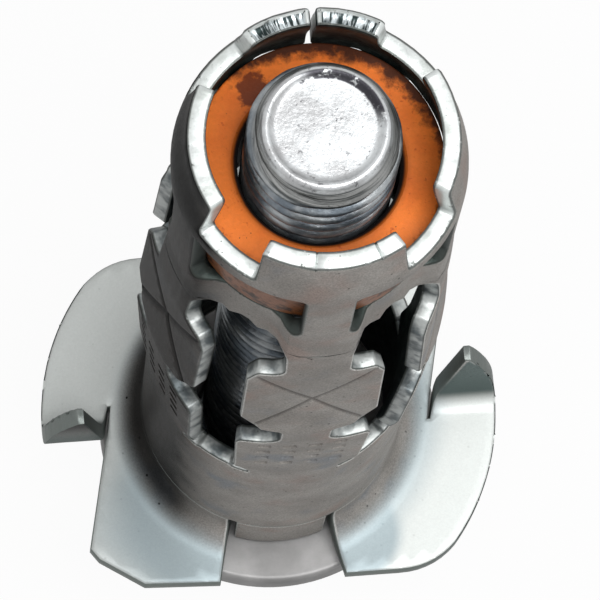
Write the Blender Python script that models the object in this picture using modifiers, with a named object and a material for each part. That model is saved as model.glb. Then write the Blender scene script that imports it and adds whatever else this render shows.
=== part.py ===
"""Hollow wall anchor: a rolled sheet sleeve with folding legs, its round nut, a washer and a hexagon bolt.

The anchor stands on the bolt's head, with the bolt's axis on Z and the sleeve's tail at the top.
The sleeve is punched as a flat blank, then rolled round the axis and formed, as the real one is.
"""
import math

import bmesh
import bpy
from mathutils import Vector

MM = 0.001

# Bolt, in millimetres
THREAD_DIAMETER = 8.0
THREAD_PITCH = 1.25
BOLT_LENGTH = 60.0
HEAD_ACROSS_FLATS = 13.0
HEAD_HEIGHT = 5.3
HEAD_CHAMFER_ANGLE = 30.0
HEAD_TURN = 4.0
NECK_FILLET = 0.35
TIP_DISH_DEPTH = 0.3
TIP_RIM = 0.45

# Washer
WASHER_DIAMETER = 20.0
WASHER_THICKNESS = 1.6
WASHER_CLEARANCE = 0.25
WASHER_EDGE = 0.2

# Gap between flat faces that rest on each other
SEAT_GAP = 0.3

# Sleeve as a tube
SHEET = 1.0
SLEEVE_DIAMETER = 15.3
SLEEVE_LENGTH = 56.0
SEAM_GAP = 0.3

# Crown: four tabs bent in over the nut. Depths are measured down from the tabs' tops.
TAB_FRONT_ANGLE = 64.0
TAB_SIDE_ANGLE = 58.0
TAB_RISE = 3.0
TAB_CRIMP = 0.65
CRIMP_LENGTH = 4.0

# Collar, the slots under it, and the pressed ring that the nut sits on
COLLAR_DEPTH = 4.0
SLOT_HEIGHT = 6.6
NECK_WIDTH = 2.5
RING_HEIGHT = 3.4
RING_PRESS = 1.15
PRESS_START = 1.4
PRESS_FULL = 2.9
PRESS_FADE = 1.5

# Legs, from the ring down
LEG_COUNT = 5
WAIST_WIDTH = 3.5
WAIST_HEIGHT = 3.3
PLATE_WIDTH = 7.3
PLATE_TOP_WIDTH = 6.2
PLATE_HEIGHT = 10.5
PLATE_DISH = 0.3
KNEE_WIDTH = 2.7
KNEE_HEIGHT = 2.7
KNEE_BULGE = 0.65
LOWER_PLATE_HEIGHT = 9.5
ROOT_WIDTH = 5.0
ROOT_EASE = 3.0
LEG_FLATNESS = 0.6
CORNER_CUT = 1.2
CORNER_DROP = 2.6

# Flange: two wings bent out of the tube's end, each with a tooth cut free and bent up towards the wall
BEND_RADIUS = 2.5
WING_RADIUS = 13.5
WING_OVERHANG = 0.1
WING_ROOT_ANGLE = 24.0
WING_CORNER_X = 3.7
TONGUE_ANGLE = 20.5
SLIT_EDGE_ANGLE = 0.4
SLIT_EDGE = 0.05
SLIT_RISE = 0.6
NOTCH_GAP = 0.15
NOTCH_END_Y = 7.5
CORNER_ARC_Y = 8.2
CORNER_FLAT = 0.8
CORNER_EASE = 0.2
TOOTH_FOLD_Y = -1.0
TOOTH_WIDTH = 4.0
TOOTH_TIP_Y = 6.9
TOOTH_ANGLE = 86.0
TOOTH_BEND_RADIUS = 1.7

# Nut
NUT_HEIGHT = 6.0
NUT_SEAT_GAP = 0.2
NUT_WALL_GAP = 0.15
NUT_BORE_CLEARANCE = 0.2
NUT_COUNTERSINK = 0.3
NUT_EDGE = 0.3

# Facets
TURNED_STEPS = 48
COLUMN_ANGLE = 7.2
CORNER_STEPS = 4
ROW_INSET = 0.15

# Values worked out from the dimensions above
THREAD_RADIUS = THREAD_DIAMETER / 2
THREAD_DEPTH = 0.6134 * THREAD_PITCH
SLEEVE_RADIUS = SLEEVE_DIAMETER / 2
MID_RADIUS = SLEEVE_RADIUS - SHEET / 2
BORE_RADIUS = SLEEVE_RADIUS - SHEET
BLANK_WIDTH = 2 * math.pi * MID_RADIUS - SEAM_GAP
LEG_PITCH = 2 * math.pi * MID_RADIUS / LEG_COUNT
SEAT_DEPTH = COLLAR_DEPTH + SLOT_HEIGHT
CREASE_DEPTH = SEAT_DEPTH + RING_HEIGHT / 2
RING_DEPTH = SEAT_DEPTH + RING_HEIGHT
PLATE_TOP = RING_DEPTH + WAIST_HEIGHT
KNEE_DEPTH = PLATE_TOP + PLATE_HEIGHT
LOWER_PLATE_TOP = KNEE_DEPTH + KNEE_HEIGHT
ROOT_DEPTH = LOWER_PLATE_TOP + LOWER_PLATE_HEIGHT
BEND_DEPTH = SLEEVE_LENGTH - SHEET / 2 - BEND_RADIUS
BEND_LENGTH = BEND_RADIUS * math.pi / 2
WING_HALF_WIDTH = WASHER_DIAMETER / 2 + WING_OVERHANG
TOOTH_INNER_X = WING_RADIUS - TOOTH_WIDTH
WASHER_BOTTOM = HEAD_HEIGHT + SEAT_GAP
SLEEVE_BOTTOM = WASHER_BOTTOM + WASHER_THICKNESS + SEAT_GAP
FRONT_AZIMUTH = -math.pi / 2


def clear_scene():
    for item in list(bpy.data.objects):
        bpy.data.objects.remove(item, do_unlink=True)
    for group in list(bpy.data.collections):
        bpy.data.collections.remove(group)


def new_collection(name):
    group = bpy.data.collections.new(name)
    bpy.context.scene.collection.children.link(group)
    return group


def new_material(name, colour, roughness, metallic):
    material = bpy.data.materials.new(name)
    material.use_nodes = True
    shader = material.node_tree.nodes["Principled BSDF"]
    shader.inputs["Base Color"].default_value = (*colour, 1.0)
    shader.inputs["Roughness"].default_value = roughness
    shader.inputs["Metallic"].default_value = metallic
    return material


def new_object(name, mesh, group, material=None):
    item = bpy.data.objects.new(name, mesh)
    group.objects.link(item)
    if material:
        mesh.materials.append(material)
    else:
        item.hide_render = True
        item.display_type = "WIRE"
    return item


def shade_round(item, angle=35.0):
    item.data.shade_smooth()
    item.data.set_sharp_from_angle(angle=math.radians(angle))


def evaluated_mesh(item):
    bpy.context.view_layer.update()
    graph = bpy.context.evaluated_depsgraph_get()
    return bpy.data.meshes.new_from_object(item.evaluated_get(graph))


def add_boolean(item, cutter, operation):
    modifier = item.modifiers.new(operation.lower() + "_" + cutter.name, "BOOLEAN")
    modifier.operation = operation
    modifier.solver = "EXACT"
    modifier.object = cutter
    return modifier


def turned(name, profile, group, material=None):
    """A solid of revolution from (radius, height) points in mm that run down its outer side."""
    mesh = bpy.data.meshes.new(name)
    points = [(radius * MM, 0.0, height * MM) for radius, height in profile]
    closed = profile[0][0] > 0
    edges = [(i, i + 1) for i in range(len(points) - 1)]
    if closed:
        edges.append((len(points) - 1, 0))
    mesh.from_pydata(points, edges, [])
    item = new_object(name, mesh, group, material)
    screw = item.modifiers.new("turn", "SCREW")
    screw.steps = TURNED_STEPS
    screw.render_steps = TURNED_STEPS
    screw.use_merge_vertices = True
    screw.merge_threshold = 0.000001
    screw.use_smooth_shade = False
    item.data = evaluated_mesh(item)
    item.modifiers.clear()
    return item


def rounded(corners):
    """The outline through (x, y, radius) corners, each turned into an arc of its radius."""
    outline = []
    count = len(corners)
    for index, (x, y, radius) in enumerate(corners):
        here = Vector((x, y))
        before = (Vector(corners[index - 1][:2]) - here)
        after = (Vector(corners[(index + 1) % count][:2]) - here)
        half = before.angle(after) / 2
        if radius <= 0 or half > math.radians(89):
            outline.append(here)
            continue
        reach = min(radius / math.tan(half), before.length * 0.49, after.length * 0.49)
        radius = reach * math.tan(half)
        middle = (before.normalized() + after.normalized()).normalized()
        centre = here + middle * (radius / math.sin(half))
        start = here + before.normalized() * reach - centre
        end = here + after.normalized() * reach - centre
        sweep = start.angle_signed(end)
        for step in range(CORNER_STEPS + 1):
            turn = -sweep * step / CORNER_STEPS
            spoke = Vector((start.x * math.cos(turn) - start.y * math.sin(turn),
                            start.x * math.sin(turn) + start.y * math.cos(turn)))
            outline.append(centre + spoke)
    return outline


def flat_prism(name, outline, half_height, group):
    """A closed prism over a flat outline in mm, from a filled 2D curve."""
    curve = bpy.data.curves.new(name + "_outline", "CURVE")
    curve.dimensions = "2D"
    curve.fill_mode = "BOTH"
    curve.extrude = half_height * MM
    spline = curve.splines.new("POLY")
    spline.points.add(len(outline) - 1)
    for point, place in zip(spline.points, outline):
        point.co = (place[0] * MM, place[1] * MM, 0.0, 1.0)
    spline.use_cyclic_u = True
    guide = bpy.data.objects.new(name + "_guide", curve)
    group.objects.link(guide)
    mesh = evaluated_mesh(guide)
    bpy.data.objects.remove(guide, do_unlink=True)
    shell = bmesh.new()
    shell.from_mesh(mesh)
    bmesh.ops.remove_doubles(shell, verts=shell.verts, dist=0.000001)
    bmesh.ops.recalc_face_normals(shell, faces=shell.faces)
    shell.to_mesh(mesh)
    shell.free()
    return new_object(name, mesh, group)


def bent(distance, radius, angle):
    """Where a strip gets to: forward, up and its slope, after a distance along it past a bend."""
    arc = radius * angle
    if distance <= 0:
        return distance, 0.0, 0.0
    if distance < arc:
        slope = distance / radius
        return radius * math.sin(slope), radius * (1 - math.cos(slope)), slope
    past = distance - arc
    forward = radius * math.sin(angle) + past * math.cos(angle)
    up = radius * (1 - math.cos(angle)) + past * math.sin(angle)
    return forward, up, angle


def eased(value, start, end):
    """0 before start, 1 past end, and a smooth step between them."""
    share = min(max((value - start) / (end - start), 0.0), 1.0)
    return share * share * (3 - 2 * share)


def along_tube(angle):
    """The blank's x for an angle round the tube from its front, in degrees."""
    return math.radians(angle) * MID_RADIUS


def crown_corners():
    """The blank's top edge, from its right end to its left end."""
    front = along_tube(TAB_FRONT_ANGLE / 2)
    side_middle = along_tube(90.0)
    side = along_tube(TAB_SIDE_ANGLE / 2)
    back = along_tube(180.0 - TAB_FRONT_ANGLE / 2)
    right = [
        (BLANK_WIDTH / 2, 0.0, 0.0),
        (back, 0.0, 0.35),
        (back, -TAB_RISE, 0.2),
        (side_middle + side, -TAB_RISE, 0.2),
        (side_middle + side, 0.0, 0.35),
        (side_middle - side, 0.0, 0.35),
        (side_middle - side, -TAB_RISE, 0.2),
        (front, -TAB_RISE, 0.2),
        (front, 0.0, 0.35),
    ]
    left = [(-x, y, radius) for x, y, radius in reversed(right)]
    return right + left


def on_wing_arc(y):
    """The place on the wing's outer arc at a height y of the plan."""
    return Vector((math.sqrt(WING_RADIUS ** 2 - y ** 2), y))


def notch_ends():
    """The ends of the cut that frees the tooth, from the tooth's root to the outer arc."""
    return Vector((TOOTH_INNER_X - NOTCH_GAP, TOOTH_FOLD_Y)), on_wing_arc(NOTCH_END_Y)


def notch_edge_x(y):
    """The x of that cut's edge on the wing."""
    inner, outer = notch_ends()
    share = (y - inner.y) / (outer.y - inner.y)
    return inner.x + share * (outer.x - inner.x)


def wing_plan():
    """The right wing seen from the tail, with its tooth still flat, from the front gap to the back."""
    root = math.radians(WING_ROOT_ANGLE)
    gap_edge = Vector((MID_RADIUS * math.sin(root), -MID_RADIUS * math.cos(root)))
    arc_start = -math.asin(WING_HALF_WIDTH / WING_RADIUS)
    arc_end = math.asin(TOOTH_TIP_Y / WING_RADIUS)
    arc_steps = 18
    notch_inner, notch_outer = notch_ends()
    corner = on_wing_arc(WING_HALF_WIDTH) - Vector((CORNER_FLAT, CORNER_EASE))
    places = [gap_edge, Vector((WING_CORNER_X, -WING_HALF_WIDTH))]
    for step in range(arc_steps + 1):
        turn = arc_start + (arc_end - arc_start) * step / arc_steps
        places.append(Vector((WING_RADIUS * math.cos(turn), WING_RADIUS * math.sin(turn))))
    places += [
        Vector((notch_edge_x(TOOTH_TIP_Y) + NOTCH_GAP, TOOTH_TIP_Y)),
        Vector((TOOTH_INNER_X, TOOTH_FOLD_Y)),
        notch_inner,
        notch_outer,
        on_wing_arc(CORNER_ARC_Y),
        corner,
        Vector((WING_CORNER_X, WING_HALF_WIDTH)),
        Vector((gap_edge.x, -gap_edge.y)),
    ]
    return places


def plan_to_blank(place, side):
    """The blank's point that ends at a place of the flange, for the right (1) or left (-1) wing."""
    radius = place.length
    azimuth = math.atan2(place.y, place.x)
    if radius < MID_RADIUS + BEND_RADIUS:
        share = min(max((radius - MID_RADIUS) / BEND_RADIUS, 0.0), 1.0)
        past = BEND_RADIUS * math.acos(1 - share)
    else:
        past = BEND_LENGTH + radius - MID_RADIUS - BEND_RADIUS
    turn = azimuth + math.pi / 2
    if side < 0:
        turn -= math.pi
    return Vector((turn * MID_RADIUS, -BEND_DEPTH - past))


def wing_blank(side):
    """The wing's outline on the blank, with points close enough to stay straight once it is bent."""
    places = wing_plan()
    point_step = 0.8
    outline = []
    for start, end in zip(places, places[1:]):
        pieces = max(1, round((end - start).length / point_step))
        for piece in range(pieces):
            outline.append(plan_to_blank(start.lerp(end, piece / pieces), side))
    outline.append(plan_to_blank(places[-1], side))
    return outline


def blank_outline():
    """The whole blank: crown, tube, and the two wings with a short tongue of tube between them."""
    below = -SLEEVE_LENGTH / 2
    lower_corners = [(-BLANK_WIDTH / 2, below, 0.0), (BLANK_WIDTH / 2, below, 0.0)]
    top = rounded(crown_corners() + lower_corners)[:-len(lower_corners)]
    tongue = along_tube(TONGUE_ANGLE)
    tongue_back = along_tube(180.0 - TONGUE_ANGLE)
    slit_top = -BEND_DEPTH + SLIT_RISE
    left_wing = wing_blank(-1)
    right_wing = wing_blank(1)
    bottom = [
        Vector((-BLANK_WIDTH / 2, -SLEEVE_LENGTH)),
        Vector((-tongue_back, -SLEEVE_LENGTH)),
        Vector((-tongue_back, slit_top)),
        Vector((left_wing[0].x, slit_top)),
        *left_wing,
        Vector((left_wing[-1].x, slit_top)),
        Vector((-tongue, slit_top)),
        Vector((-tongue, -SLEEVE_LENGTH)),
        Vector((tongue, -SLEEVE_LENGTH)),
        Vector((tongue, slit_top)),
        Vector((right_wing[0].x, slit_top)),
        *right_wing,
        Vector((right_wing[-1].x, slit_top)),
        Vector((tongue_back, slit_top)),
        Vector((tongue_back, -SLEEVE_LENGTH)),
        Vector((BLANK_WIDTH / 2, -SLEEVE_LENGTH)),
    ]
    return top + bottom


def leg_side():
    """The leg's right side from the ring to the tube, as (half width, height, corner radius)."""
    half = PLATE_WIDTH / 2
    return [
        (WAIST_WIDTH / 2, -RING_DEPTH, 0.9),
        (WAIST_WIDTH / 2, -PLATE_TOP, 1.3),
        (PLATE_TOP_WIDTH / 2, -PLATE_TOP, 0.25),
        (half, -PLATE_TOP - CORNER_CUT, 0.3),
        (half, -KNEE_DEPTH + CORNER_DROP, 0.4),
        (half - CORNER_CUT, -KNEE_DEPTH + 0.4, 0.4),
        (KNEE_WIDTH / 2, -KNEE_DEPTH, 0.3),
        (KNEE_WIDTH / 2, -LOWER_PLATE_TOP, 1.0),
        (half - 0.2, -LOWER_PLATE_TOP, 0.25),
        (half, -LOWER_PLATE_TOP - 0.6, 0.2),
        (half - 0.2, -ROOT_DEPTH + CORNER_CUT, 0.4),
        (ROOT_WIDTH / 2, -ROOT_DEPTH + 0.2, 0.1),
        (ROOT_WIDTH / 2, -ROOT_DEPTH - 0.3, 0.1),
        (half - 0.3, -ROOT_DEPTH - 0.3, 0.2),
        (half - 0.1, -ROOT_DEPTH, 0.2),
    ]


def window_outline(middle):
    """The window between two legs, from one leg's side to the next one's."""
    right = [(LEG_PITCH / 2 - width, height, radius) for width, height, radius in leg_side()]
    left = [(-x, height, radius) for x, height, radius in reversed(right)]
    return [point + Vector((middle, 0.0)) for point in rounded(right + left)]


def slot_outline(middle):
    """The slot over a window, through which the nut's side shows."""
    half = (LEG_PITCH - NECK_WIDTH) / 2
    corners = [(half, -COLLAR_DEPTH, 0.5), (half, -SEAT_DEPTH, 0.9),
               (-half, -SEAT_DEPTH, 0.9), (-half, -COLLAR_DEPTH, 0.5)]
    return [point + Vector((middle, 0.0)) for point in rounded(corners)]


def column_places():
    """The x of the blank's grid lines, closer together over each tooth's fold."""
    half_count = round(180.0 / COLUMN_ANGLE)
    angles = {COLUMN_ANGLE * index for index in range(-half_count, half_count + 1)}
    tooth_columns = 6
    fold_length = TOOTH_BEND_RADIUS * math.radians(TOOTH_ANGLE)
    tooth_middle = WING_RADIUS - TOOTH_WIDTH / 2
    for column in range(tooth_columns + 1):
        across_fold = TOOTH_FOLD_Y + fold_length * column / tooth_columns
        turn = math.degrees(math.asin(across_fold / tooth_middle))
        angles.add(90.0 + turn)
        angles.add(-90.0 + turn)
    return [along_tube(angle) for angle in sorted(angles)]


def row_places():
    """The heights of the blank's grid lines, from the crown down."""
    depths = [-SHEET / 2, TAB_RISE / 2, TAB_RISE - ROW_INSET, COLLAR_DEPTH - ROW_INSET]
    depths += [COLLAR_DEPTH + SLOT_HEIGHT / 2, SEAT_DEPTH - ROW_INSET]
    depths += [SEAT_DEPTH + RING_HEIGHT * share for share in (0.25, 0.5, 0.75)]
    depths += [RING_DEPTH + ROW_INSET, RING_DEPTH + WAIST_HEIGHT / 2, PLATE_TOP - ROW_INSET]
    depths += [PLATE_TOP + PLATE_HEIGHT * share for share in (0.25, 0.5, 0.75, 0.9)]
    depths += [KNEE_DEPTH + KNEE_HEIGHT * share for share in (0.15, 0.7)]
    depths += [LOWER_PLATE_TOP + ROW_INSET]
    depths += [LOWER_PLATE_TOP + LOWER_PLATE_HEIGHT * share for share in (0.33, 0.65, 0.9)]
    depths += [ROOT_DEPTH + (BEND_DEPTH - ROOT_DEPTH) * share for share in (0.03, 0.33, 0.66)]
    bend_rows = 5
    depths += [BEND_DEPTH + BEND_LENGTH * index / bend_rows for index in range(bend_rows + 1)]
    flat = WING_RADIUS - MID_RADIUS - BEND_RADIUS + SHEET / 2
    flat_rows = 3
    last = depths[-1]
    depths += [last + flat * (index + 1) / flat_rows for index in range(flat_rows)]
    return [-depth for depth in depths]


def blank_sheet(group, material):
    """A flat sheet with grid lines where the blank will be formed."""
    columns = column_places()
    rows = row_places()
    sheet = bmesh.new()
    bmesh.ops.create_grid(sheet, x_segments=len(columns) - 1, y_segments=len(rows) - 1, size=1.0)
    for vertex in sheet.verts:
        column = round((vertex.co.x + 1) / 2 * (len(columns) - 1))
        row = round((1 - vertex.co.y) / 2 * (len(rows) - 1))
        vertex.co = Vector((columns[column] * MM, rows[row] * MM, 0.0))
    mesh = bpy.data.meshes.new("sleeve")
    sheet.to_mesh(mesh)
    sheet.free()
    item = new_object("sleeve", mesh, group, material)
    solidify = item.modifiers.new("sheet", "SOLIDIFY")
    solidify.thickness = SHEET * MM
    solidify.offset = 0.0
    return item


def ring_press(across, height):
    """How far the ring between the legs is pressed in at a place of the blank."""
    beside = abs(across - LEG_PITCH * round(across / LEG_PITCH))
    sideways = eased(beside, PRESS_START, PRESS_FULL)
    upper = eased(-height, COLLAR_DEPTH, SEAT_DEPTH)
    lower = 1.0 - eased(-height, RING_DEPTH, RING_DEPTH + PRESS_FADE)
    return RING_PRESS * sideways * upper * lower


def leg_lift(across, height):
    """How far a leg leans out of the tube, and how flat it is, at a place of the blank."""
    depth = -height
    if depth < KNEE_DEPTH:
        lean = max(0.0, depth - CREASE_DEPTH) / (KNEE_DEPTH - CREASE_DEPTH)
    else:
        lean = max(0.0, ROOT_DEPTH - depth) / (ROOT_DEPTH - KNEE_DEPTH)
    flat = eased(depth, CREASE_DEPTH, PLATE_TOP) * (1 - eased(depth, ROOT_DEPTH - ROOT_EASE, ROOT_DEPTH))
    middle = (PLATE_TOP + KNEE_DEPTH) / 2
    reach = (KNEE_DEPTH - PLATE_TOP) / 2
    edge = max(abs(across) / (PLATE_WIDTH / 2), abs(depth - middle) / reach)
    return KNEE_BULGE * lean - PLATE_DISH * max(0.0, 1 - edge), LEG_FLATNESS * flat


def form_tube(across, height, outward):
    """The tube, its crimped crown, pressed ring and leaning legs."""
    depth = -height
    crimp = TAB_CRIMP * (1 - eased(depth, 0.0, CRIMP_LENGTH))
    radius = MID_RADIUS + outward - crimp - ring_press(across, height)
    leg = round(across / LEG_PITCH)
    beside = across - leg * LEG_PITCH
    direction = FRONT_AZIMUTH + leg * LEG_PITCH / MID_RADIUS
    turn = beside / MID_RADIUS
    flat = 0.0
    if CREASE_DEPTH < depth < ROOT_DEPTH and abs(beside) < PLATE_WIDTH / 2 + 0.1:
        lift, flat = leg_lift(beside, height)
        radius += lift
    along = (1 - flat) * radius * math.cos(turn) + flat * radius
    sideways = (1 - flat) * radius * math.sin(turn) + flat * beside
    x = along * math.cos(direction) - sideways * math.sin(direction)
    y = along * math.sin(direction) + sideways * math.cos(direction)
    return Vector((x, y, height))


def form_wing(across, height, outward):
    """A wing bent out of the tube, and the tooth bent up from it."""
    side = 1 if across > 0 else -1
    turn = across / MID_RADIUS + FRONT_AZIMUTH + (0.0 if side > 0 else math.pi)
    forward, out, slope = bent(-height - BEND_DEPTH, BEND_RADIUS, math.pi / 2)
    radius = MID_RADIUS + out + outward * math.cos(slope)
    level = -BEND_DEPTH - forward + outward * math.sin(slope)
    x = radius * math.cos(turn)
    y = radius * math.sin(turn)
    past_fold = y - TOOTH_FOLD_Y
    if past_fold > 0 and x > notch_edge_x(y) + NOTCH_GAP / 2:
        advance, rise, tilt = bent(past_fold, TOOTH_BEND_RADIUS, math.radians(TOOTH_ANGLE))
        y = TOOTH_FOLD_Y + advance - outward * math.sin(tilt)
        level += rise + outward * (math.cos(tilt) - 1)
    return Vector((side * x, side * y, level))


def form(place):
    """Rolls a place of the punched blank, in metres, into the sleeve."""
    across, height, outward = place / MM
    angle = abs(math.degrees(across / MID_RADIUS))
    tongue_edge = TONGUE_ANGLE + SLIT_EDGE_ANGLE
    beside_tongue = tongue_edge < angle < 180.0 - tongue_edge
    past_tongue = height < -SLEEVE_LENGTH - SLIT_EDGE
    if height < -BEND_DEPTH and (beside_tongue or past_tongue):
        formed = form_wing(across, height, outward)
    else:
        formed = form_tube(across, height, outward)
    formed.z += SLEEVE_LENGTH
    return formed * MM


def make_sleeve(group, cutters, material):
    sleeve = blank_sheet(group, material)
    outline = flat_prism("blank_cutter", blank_outline(), SHEET, cutters)
    add_boolean(sleeve, outline, "INTERSECT")
    for index in range(LEG_COUNT + 1):
        middle = LEG_PITCH * (index - LEG_COUNT / 2)
        window = flat_prism(f"window_cutter_{index}", window_outline(middle), SHEET, cutters)
        slot = flat_prism(f"slot_cutter_{index}", slot_outline(middle), SHEET, cutters)
        add_boolean(sleeve, window, "DIFFERENCE")
        add_boolean(sleeve, slot, "DIFFERENCE")
    sleeve.data = evaluated_mesh(sleeve)
    sleeve.modifiers.clear()
    formed = bmesh.new()
    formed.from_mesh(sleeve.data)
    wide_faces = [face for face in formed.faces if len(face.verts) > 4]
    bmesh.ops.triangulate(formed, faces=wide_faces, ngon_method="BEAUTY")
    for vertex in formed.verts:
        vertex.co = form(vertex.co)
    formed.to_mesh(sleeve.data)
    formed.free()
    sleeve.location.z = SLEEVE_BOTTOM * MM
    shade_round(sleeve)
    return sleeve


def make_nut(group, material):
    """The round nut that rests on the pressed ring, inside the collar."""
    radius = BORE_RADIUS - NUT_WALL_GAP
    bore = THREAD_RADIUS + NUT_BORE_CLEARANCE
    mouth = bore + NUT_COUNTERSINK
    profile = [
        (radius - NUT_EDGE, NUT_HEIGHT),
        (radius, NUT_HEIGHT - NUT_EDGE),
        (radius, NUT_EDGE),
        (radius - NUT_EDGE, 0.0),
        (mouth, 0.0),
        (bore, NUT_COUNTERSINK),
        (bore, NUT_HEIGHT - NUT_COUNTERSINK),
        (mouth, NUT_HEIGHT),
    ]
    nut = turned("nut", profile, group, material)
    nut.location.z = (SLEEVE_BOTTOM + SLEEVE_LENGTH - SEAT_DEPTH + NUT_SEAT_GAP) * MM
    shade_round(nut)
    return nut


def make_washer(group, material):
    radius = WASHER_DIAMETER / 2
    hole = THREAD_RADIUS + WASHER_CLEARANCE
    profile = [
        (radius - WASHER_EDGE, WASHER_THICKNESS),
        (radius, WASHER_THICKNESS - WASHER_EDGE),
        (radius, WASHER_EDGE),
        (radius - WASHER_EDGE, 0.0),
        (hole, 0.0),
        (hole, WASHER_THICKNESS),
    ]
    washer = turned("washer", profile, group, material)
    washer.location.z = WASHER_BOTTOM * MM
    shade_round(washer)
    return washer


def make_bolt(group, cutters, material):
    """A hexagon bolt: a turned shank with a dished, chamfered tip, and a hexagon cut from a coned disc."""
    tip = HEAD_HEIGHT + BOLT_LENGTH
    core = THREAD_RADIUS - THREAD_DEPTH
    shank_root = HEAD_HEIGHT / 2
    shank_profile = [
        (0.0, tip - TIP_DISH_DEPTH),
        (core - TIP_RIM - TIP_DISH_DEPTH, tip - TIP_DISH_DEPTH),
        (core - TIP_RIM, tip),
        (core, tip),
        (THREAD_RADIUS, tip - THREAD_DEPTH),
        (THREAD_RADIUS, HEAD_HEIGHT + NECK_FILLET),
        (THREAD_RADIUS + NECK_FILLET, HEAD_HEIGHT - NECK_FILLET),
        (THREAD_RADIUS + NECK_FILLET, shank_root),
        (0.0, shank_root),
    ]
    bolt = turned("bolt", shank_profile, group, material)
    corner_radius = HEAD_ACROSS_FLATS / math.sqrt(3)
    flat_radius = HEAD_ACROSS_FLATS * 0.475
    chamfer = (corner_radius - flat_radius) * math.tan(math.radians(HEAD_CHAMFER_ANGLE))
    disc_profile = [
        (0.0, HEAD_HEIGHT),
        (corner_radius + 0.5, HEAD_HEIGHT),
        (corner_radius + 0.5, chamfer + 0.5 * math.tan(math.radians(HEAD_CHAMFER_ANGLE))),
        (flat_radius, 0.0),
        (0.0, 0.0),
    ]
    disc = turned("head_disc_cutter", disc_profile, cutters)
    prism = bmesh.new()
    bmesh.ops.create_cone(prism, cap_ends=True, segments=6, radius1=corner_radius * MM,
                          radius2=corner_radius * MM, depth=HEAD_HEIGHT * 2 * MM)
    mesh = bpy.data.meshes.new("head_cutter")
    prism.to_mesh(mesh)
    prism.free()
    head = new_object("head_cutter", mesh, cutters)
    head.location.z = HEAD_HEIGHT / 2 * MM
    head.rotation_euler.z = math.radians(HEAD_TURN)
    add_boolean(head, disc, "INTERSECT")
    add_boolean(bolt, head, "UNION")
    bolt.data = evaluated_mesh(bolt)
    bolt.modifiers.clear()
    shade_round(bolt)
    return bolt


def main():
    clear_scene()
    parts = new_collection("hollow_wall_anchor")
    cutters = new_collection("cutters")
    zinc_sheet = new_material("zinc_sheet", (0.56, 0.56, 0.55), 0.38, 0.9)
    orange_coat = new_material("orange_coat", (0.75, 0.17, 0.025), 0.45, 0.1)
    zinc_washer = new_material("zinc_washer", (0.60, 0.61, 0.61), 0.4, 0.9)
    zinc_bolt = new_material("zinc_bolt", (0.62, 0.63, 0.64), 0.3, 0.95)
    make_sleeve(parts, cutters, zinc_sheet)
    make_nut(parts, orange_coat)
    make_washer(parts, zinc_washer)
    make_bolt(parts, cutters, zinc_bolt)


main()
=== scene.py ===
"""Hollow wall anchor: the finished sleeve, nut, washer and bolt, in a small pale studio.

Sizes are in millimetres until a piece is done. The bolt's axis is Z, its head stands on the floor
at height 0, and the sleeve's tail with the nut is at the top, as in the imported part.
The sleeve is punched as a flat blank, then rolled and formed. On the blank, x runs round the tube
from its front, y is the height, from 0 at the crown down to minus values, and z is outward through
the sheet. A depth is how far something lies below the crown's ends. Angles are in degrees.
"""
import math

import bmesh
import bpy
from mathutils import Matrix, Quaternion, Vector, noise


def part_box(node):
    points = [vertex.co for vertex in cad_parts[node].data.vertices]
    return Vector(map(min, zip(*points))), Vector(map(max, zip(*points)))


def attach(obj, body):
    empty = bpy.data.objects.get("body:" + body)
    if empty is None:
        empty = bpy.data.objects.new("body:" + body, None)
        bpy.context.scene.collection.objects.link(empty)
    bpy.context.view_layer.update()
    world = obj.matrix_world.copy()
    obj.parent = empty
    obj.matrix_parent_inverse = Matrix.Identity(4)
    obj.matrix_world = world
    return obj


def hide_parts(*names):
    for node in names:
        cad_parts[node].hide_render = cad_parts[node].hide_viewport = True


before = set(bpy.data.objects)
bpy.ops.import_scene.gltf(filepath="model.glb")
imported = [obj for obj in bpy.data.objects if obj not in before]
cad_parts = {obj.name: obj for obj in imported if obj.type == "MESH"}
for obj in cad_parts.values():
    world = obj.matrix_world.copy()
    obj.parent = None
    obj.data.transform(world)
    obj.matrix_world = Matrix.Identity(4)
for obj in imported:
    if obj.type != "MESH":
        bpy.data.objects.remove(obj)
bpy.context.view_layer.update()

# A millimetre in the scene's metres, and how near points are merged and heights count as level
MM = 0.001
MERGE = 0.0001
HEIGHT_SLACK = 0.01

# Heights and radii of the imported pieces
BOLT_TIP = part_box("bolt")[1].z / MM
SLEEVE_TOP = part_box("sleeve")[1].z / MM
NUT_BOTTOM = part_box("nut")[0].z / MM
NUT_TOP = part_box("nut")[1].z / MM
NUT_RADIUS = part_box("nut")[1].x / MM
WASHER_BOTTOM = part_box("washer")[0].z / MM
WASHER_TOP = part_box("washer")[1].z / MM
WASHER_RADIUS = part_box("washer")[1].x / MM
WASHER_GAP = 0.3
HEAD_TOP = WASHER_BOTTOM - WASHER_GAP

# Bolt
THREAD_RADIUS = 4.0
THREAD_PITCH = 1.25
THREAD_DEPTH = 0.6134 * THREAD_PITCH
CREST_SHARE = 0.16
ROOT_SHARE = 0.2
HEAD_ACROSS_FLATS = 13.0
HEAD_TURN = 4.0
HEAD_CHAMFER_ANGLE = 30.0
HEAD_FACE_RADIUS = HEAD_ACROSS_FLATS * 0.475
HEAD_FILLET = 0.35
HEAD_EDGE = 0.05
HEAD_DISH = 0.35
HEAD_DISH_INSETS = (0.9, 1.5, 2.2)
HEAD_SHARP_ANGLE = 25.0
THREAD_RUNOUT = 0.4
TIP_FACE_RADIUS = 3.3
TIP_ROUND = 0.28
TIP_CONE = 1.15
TIP_DISH = 0.3
TIP_DISH_START = 0.8
TIP_DISH_STEPS = 20
HEAD_RIM_STEPS = 8
SHANK_ROW = THREAD_PITCH / 10
BOLT_STEPS = 96

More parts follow.
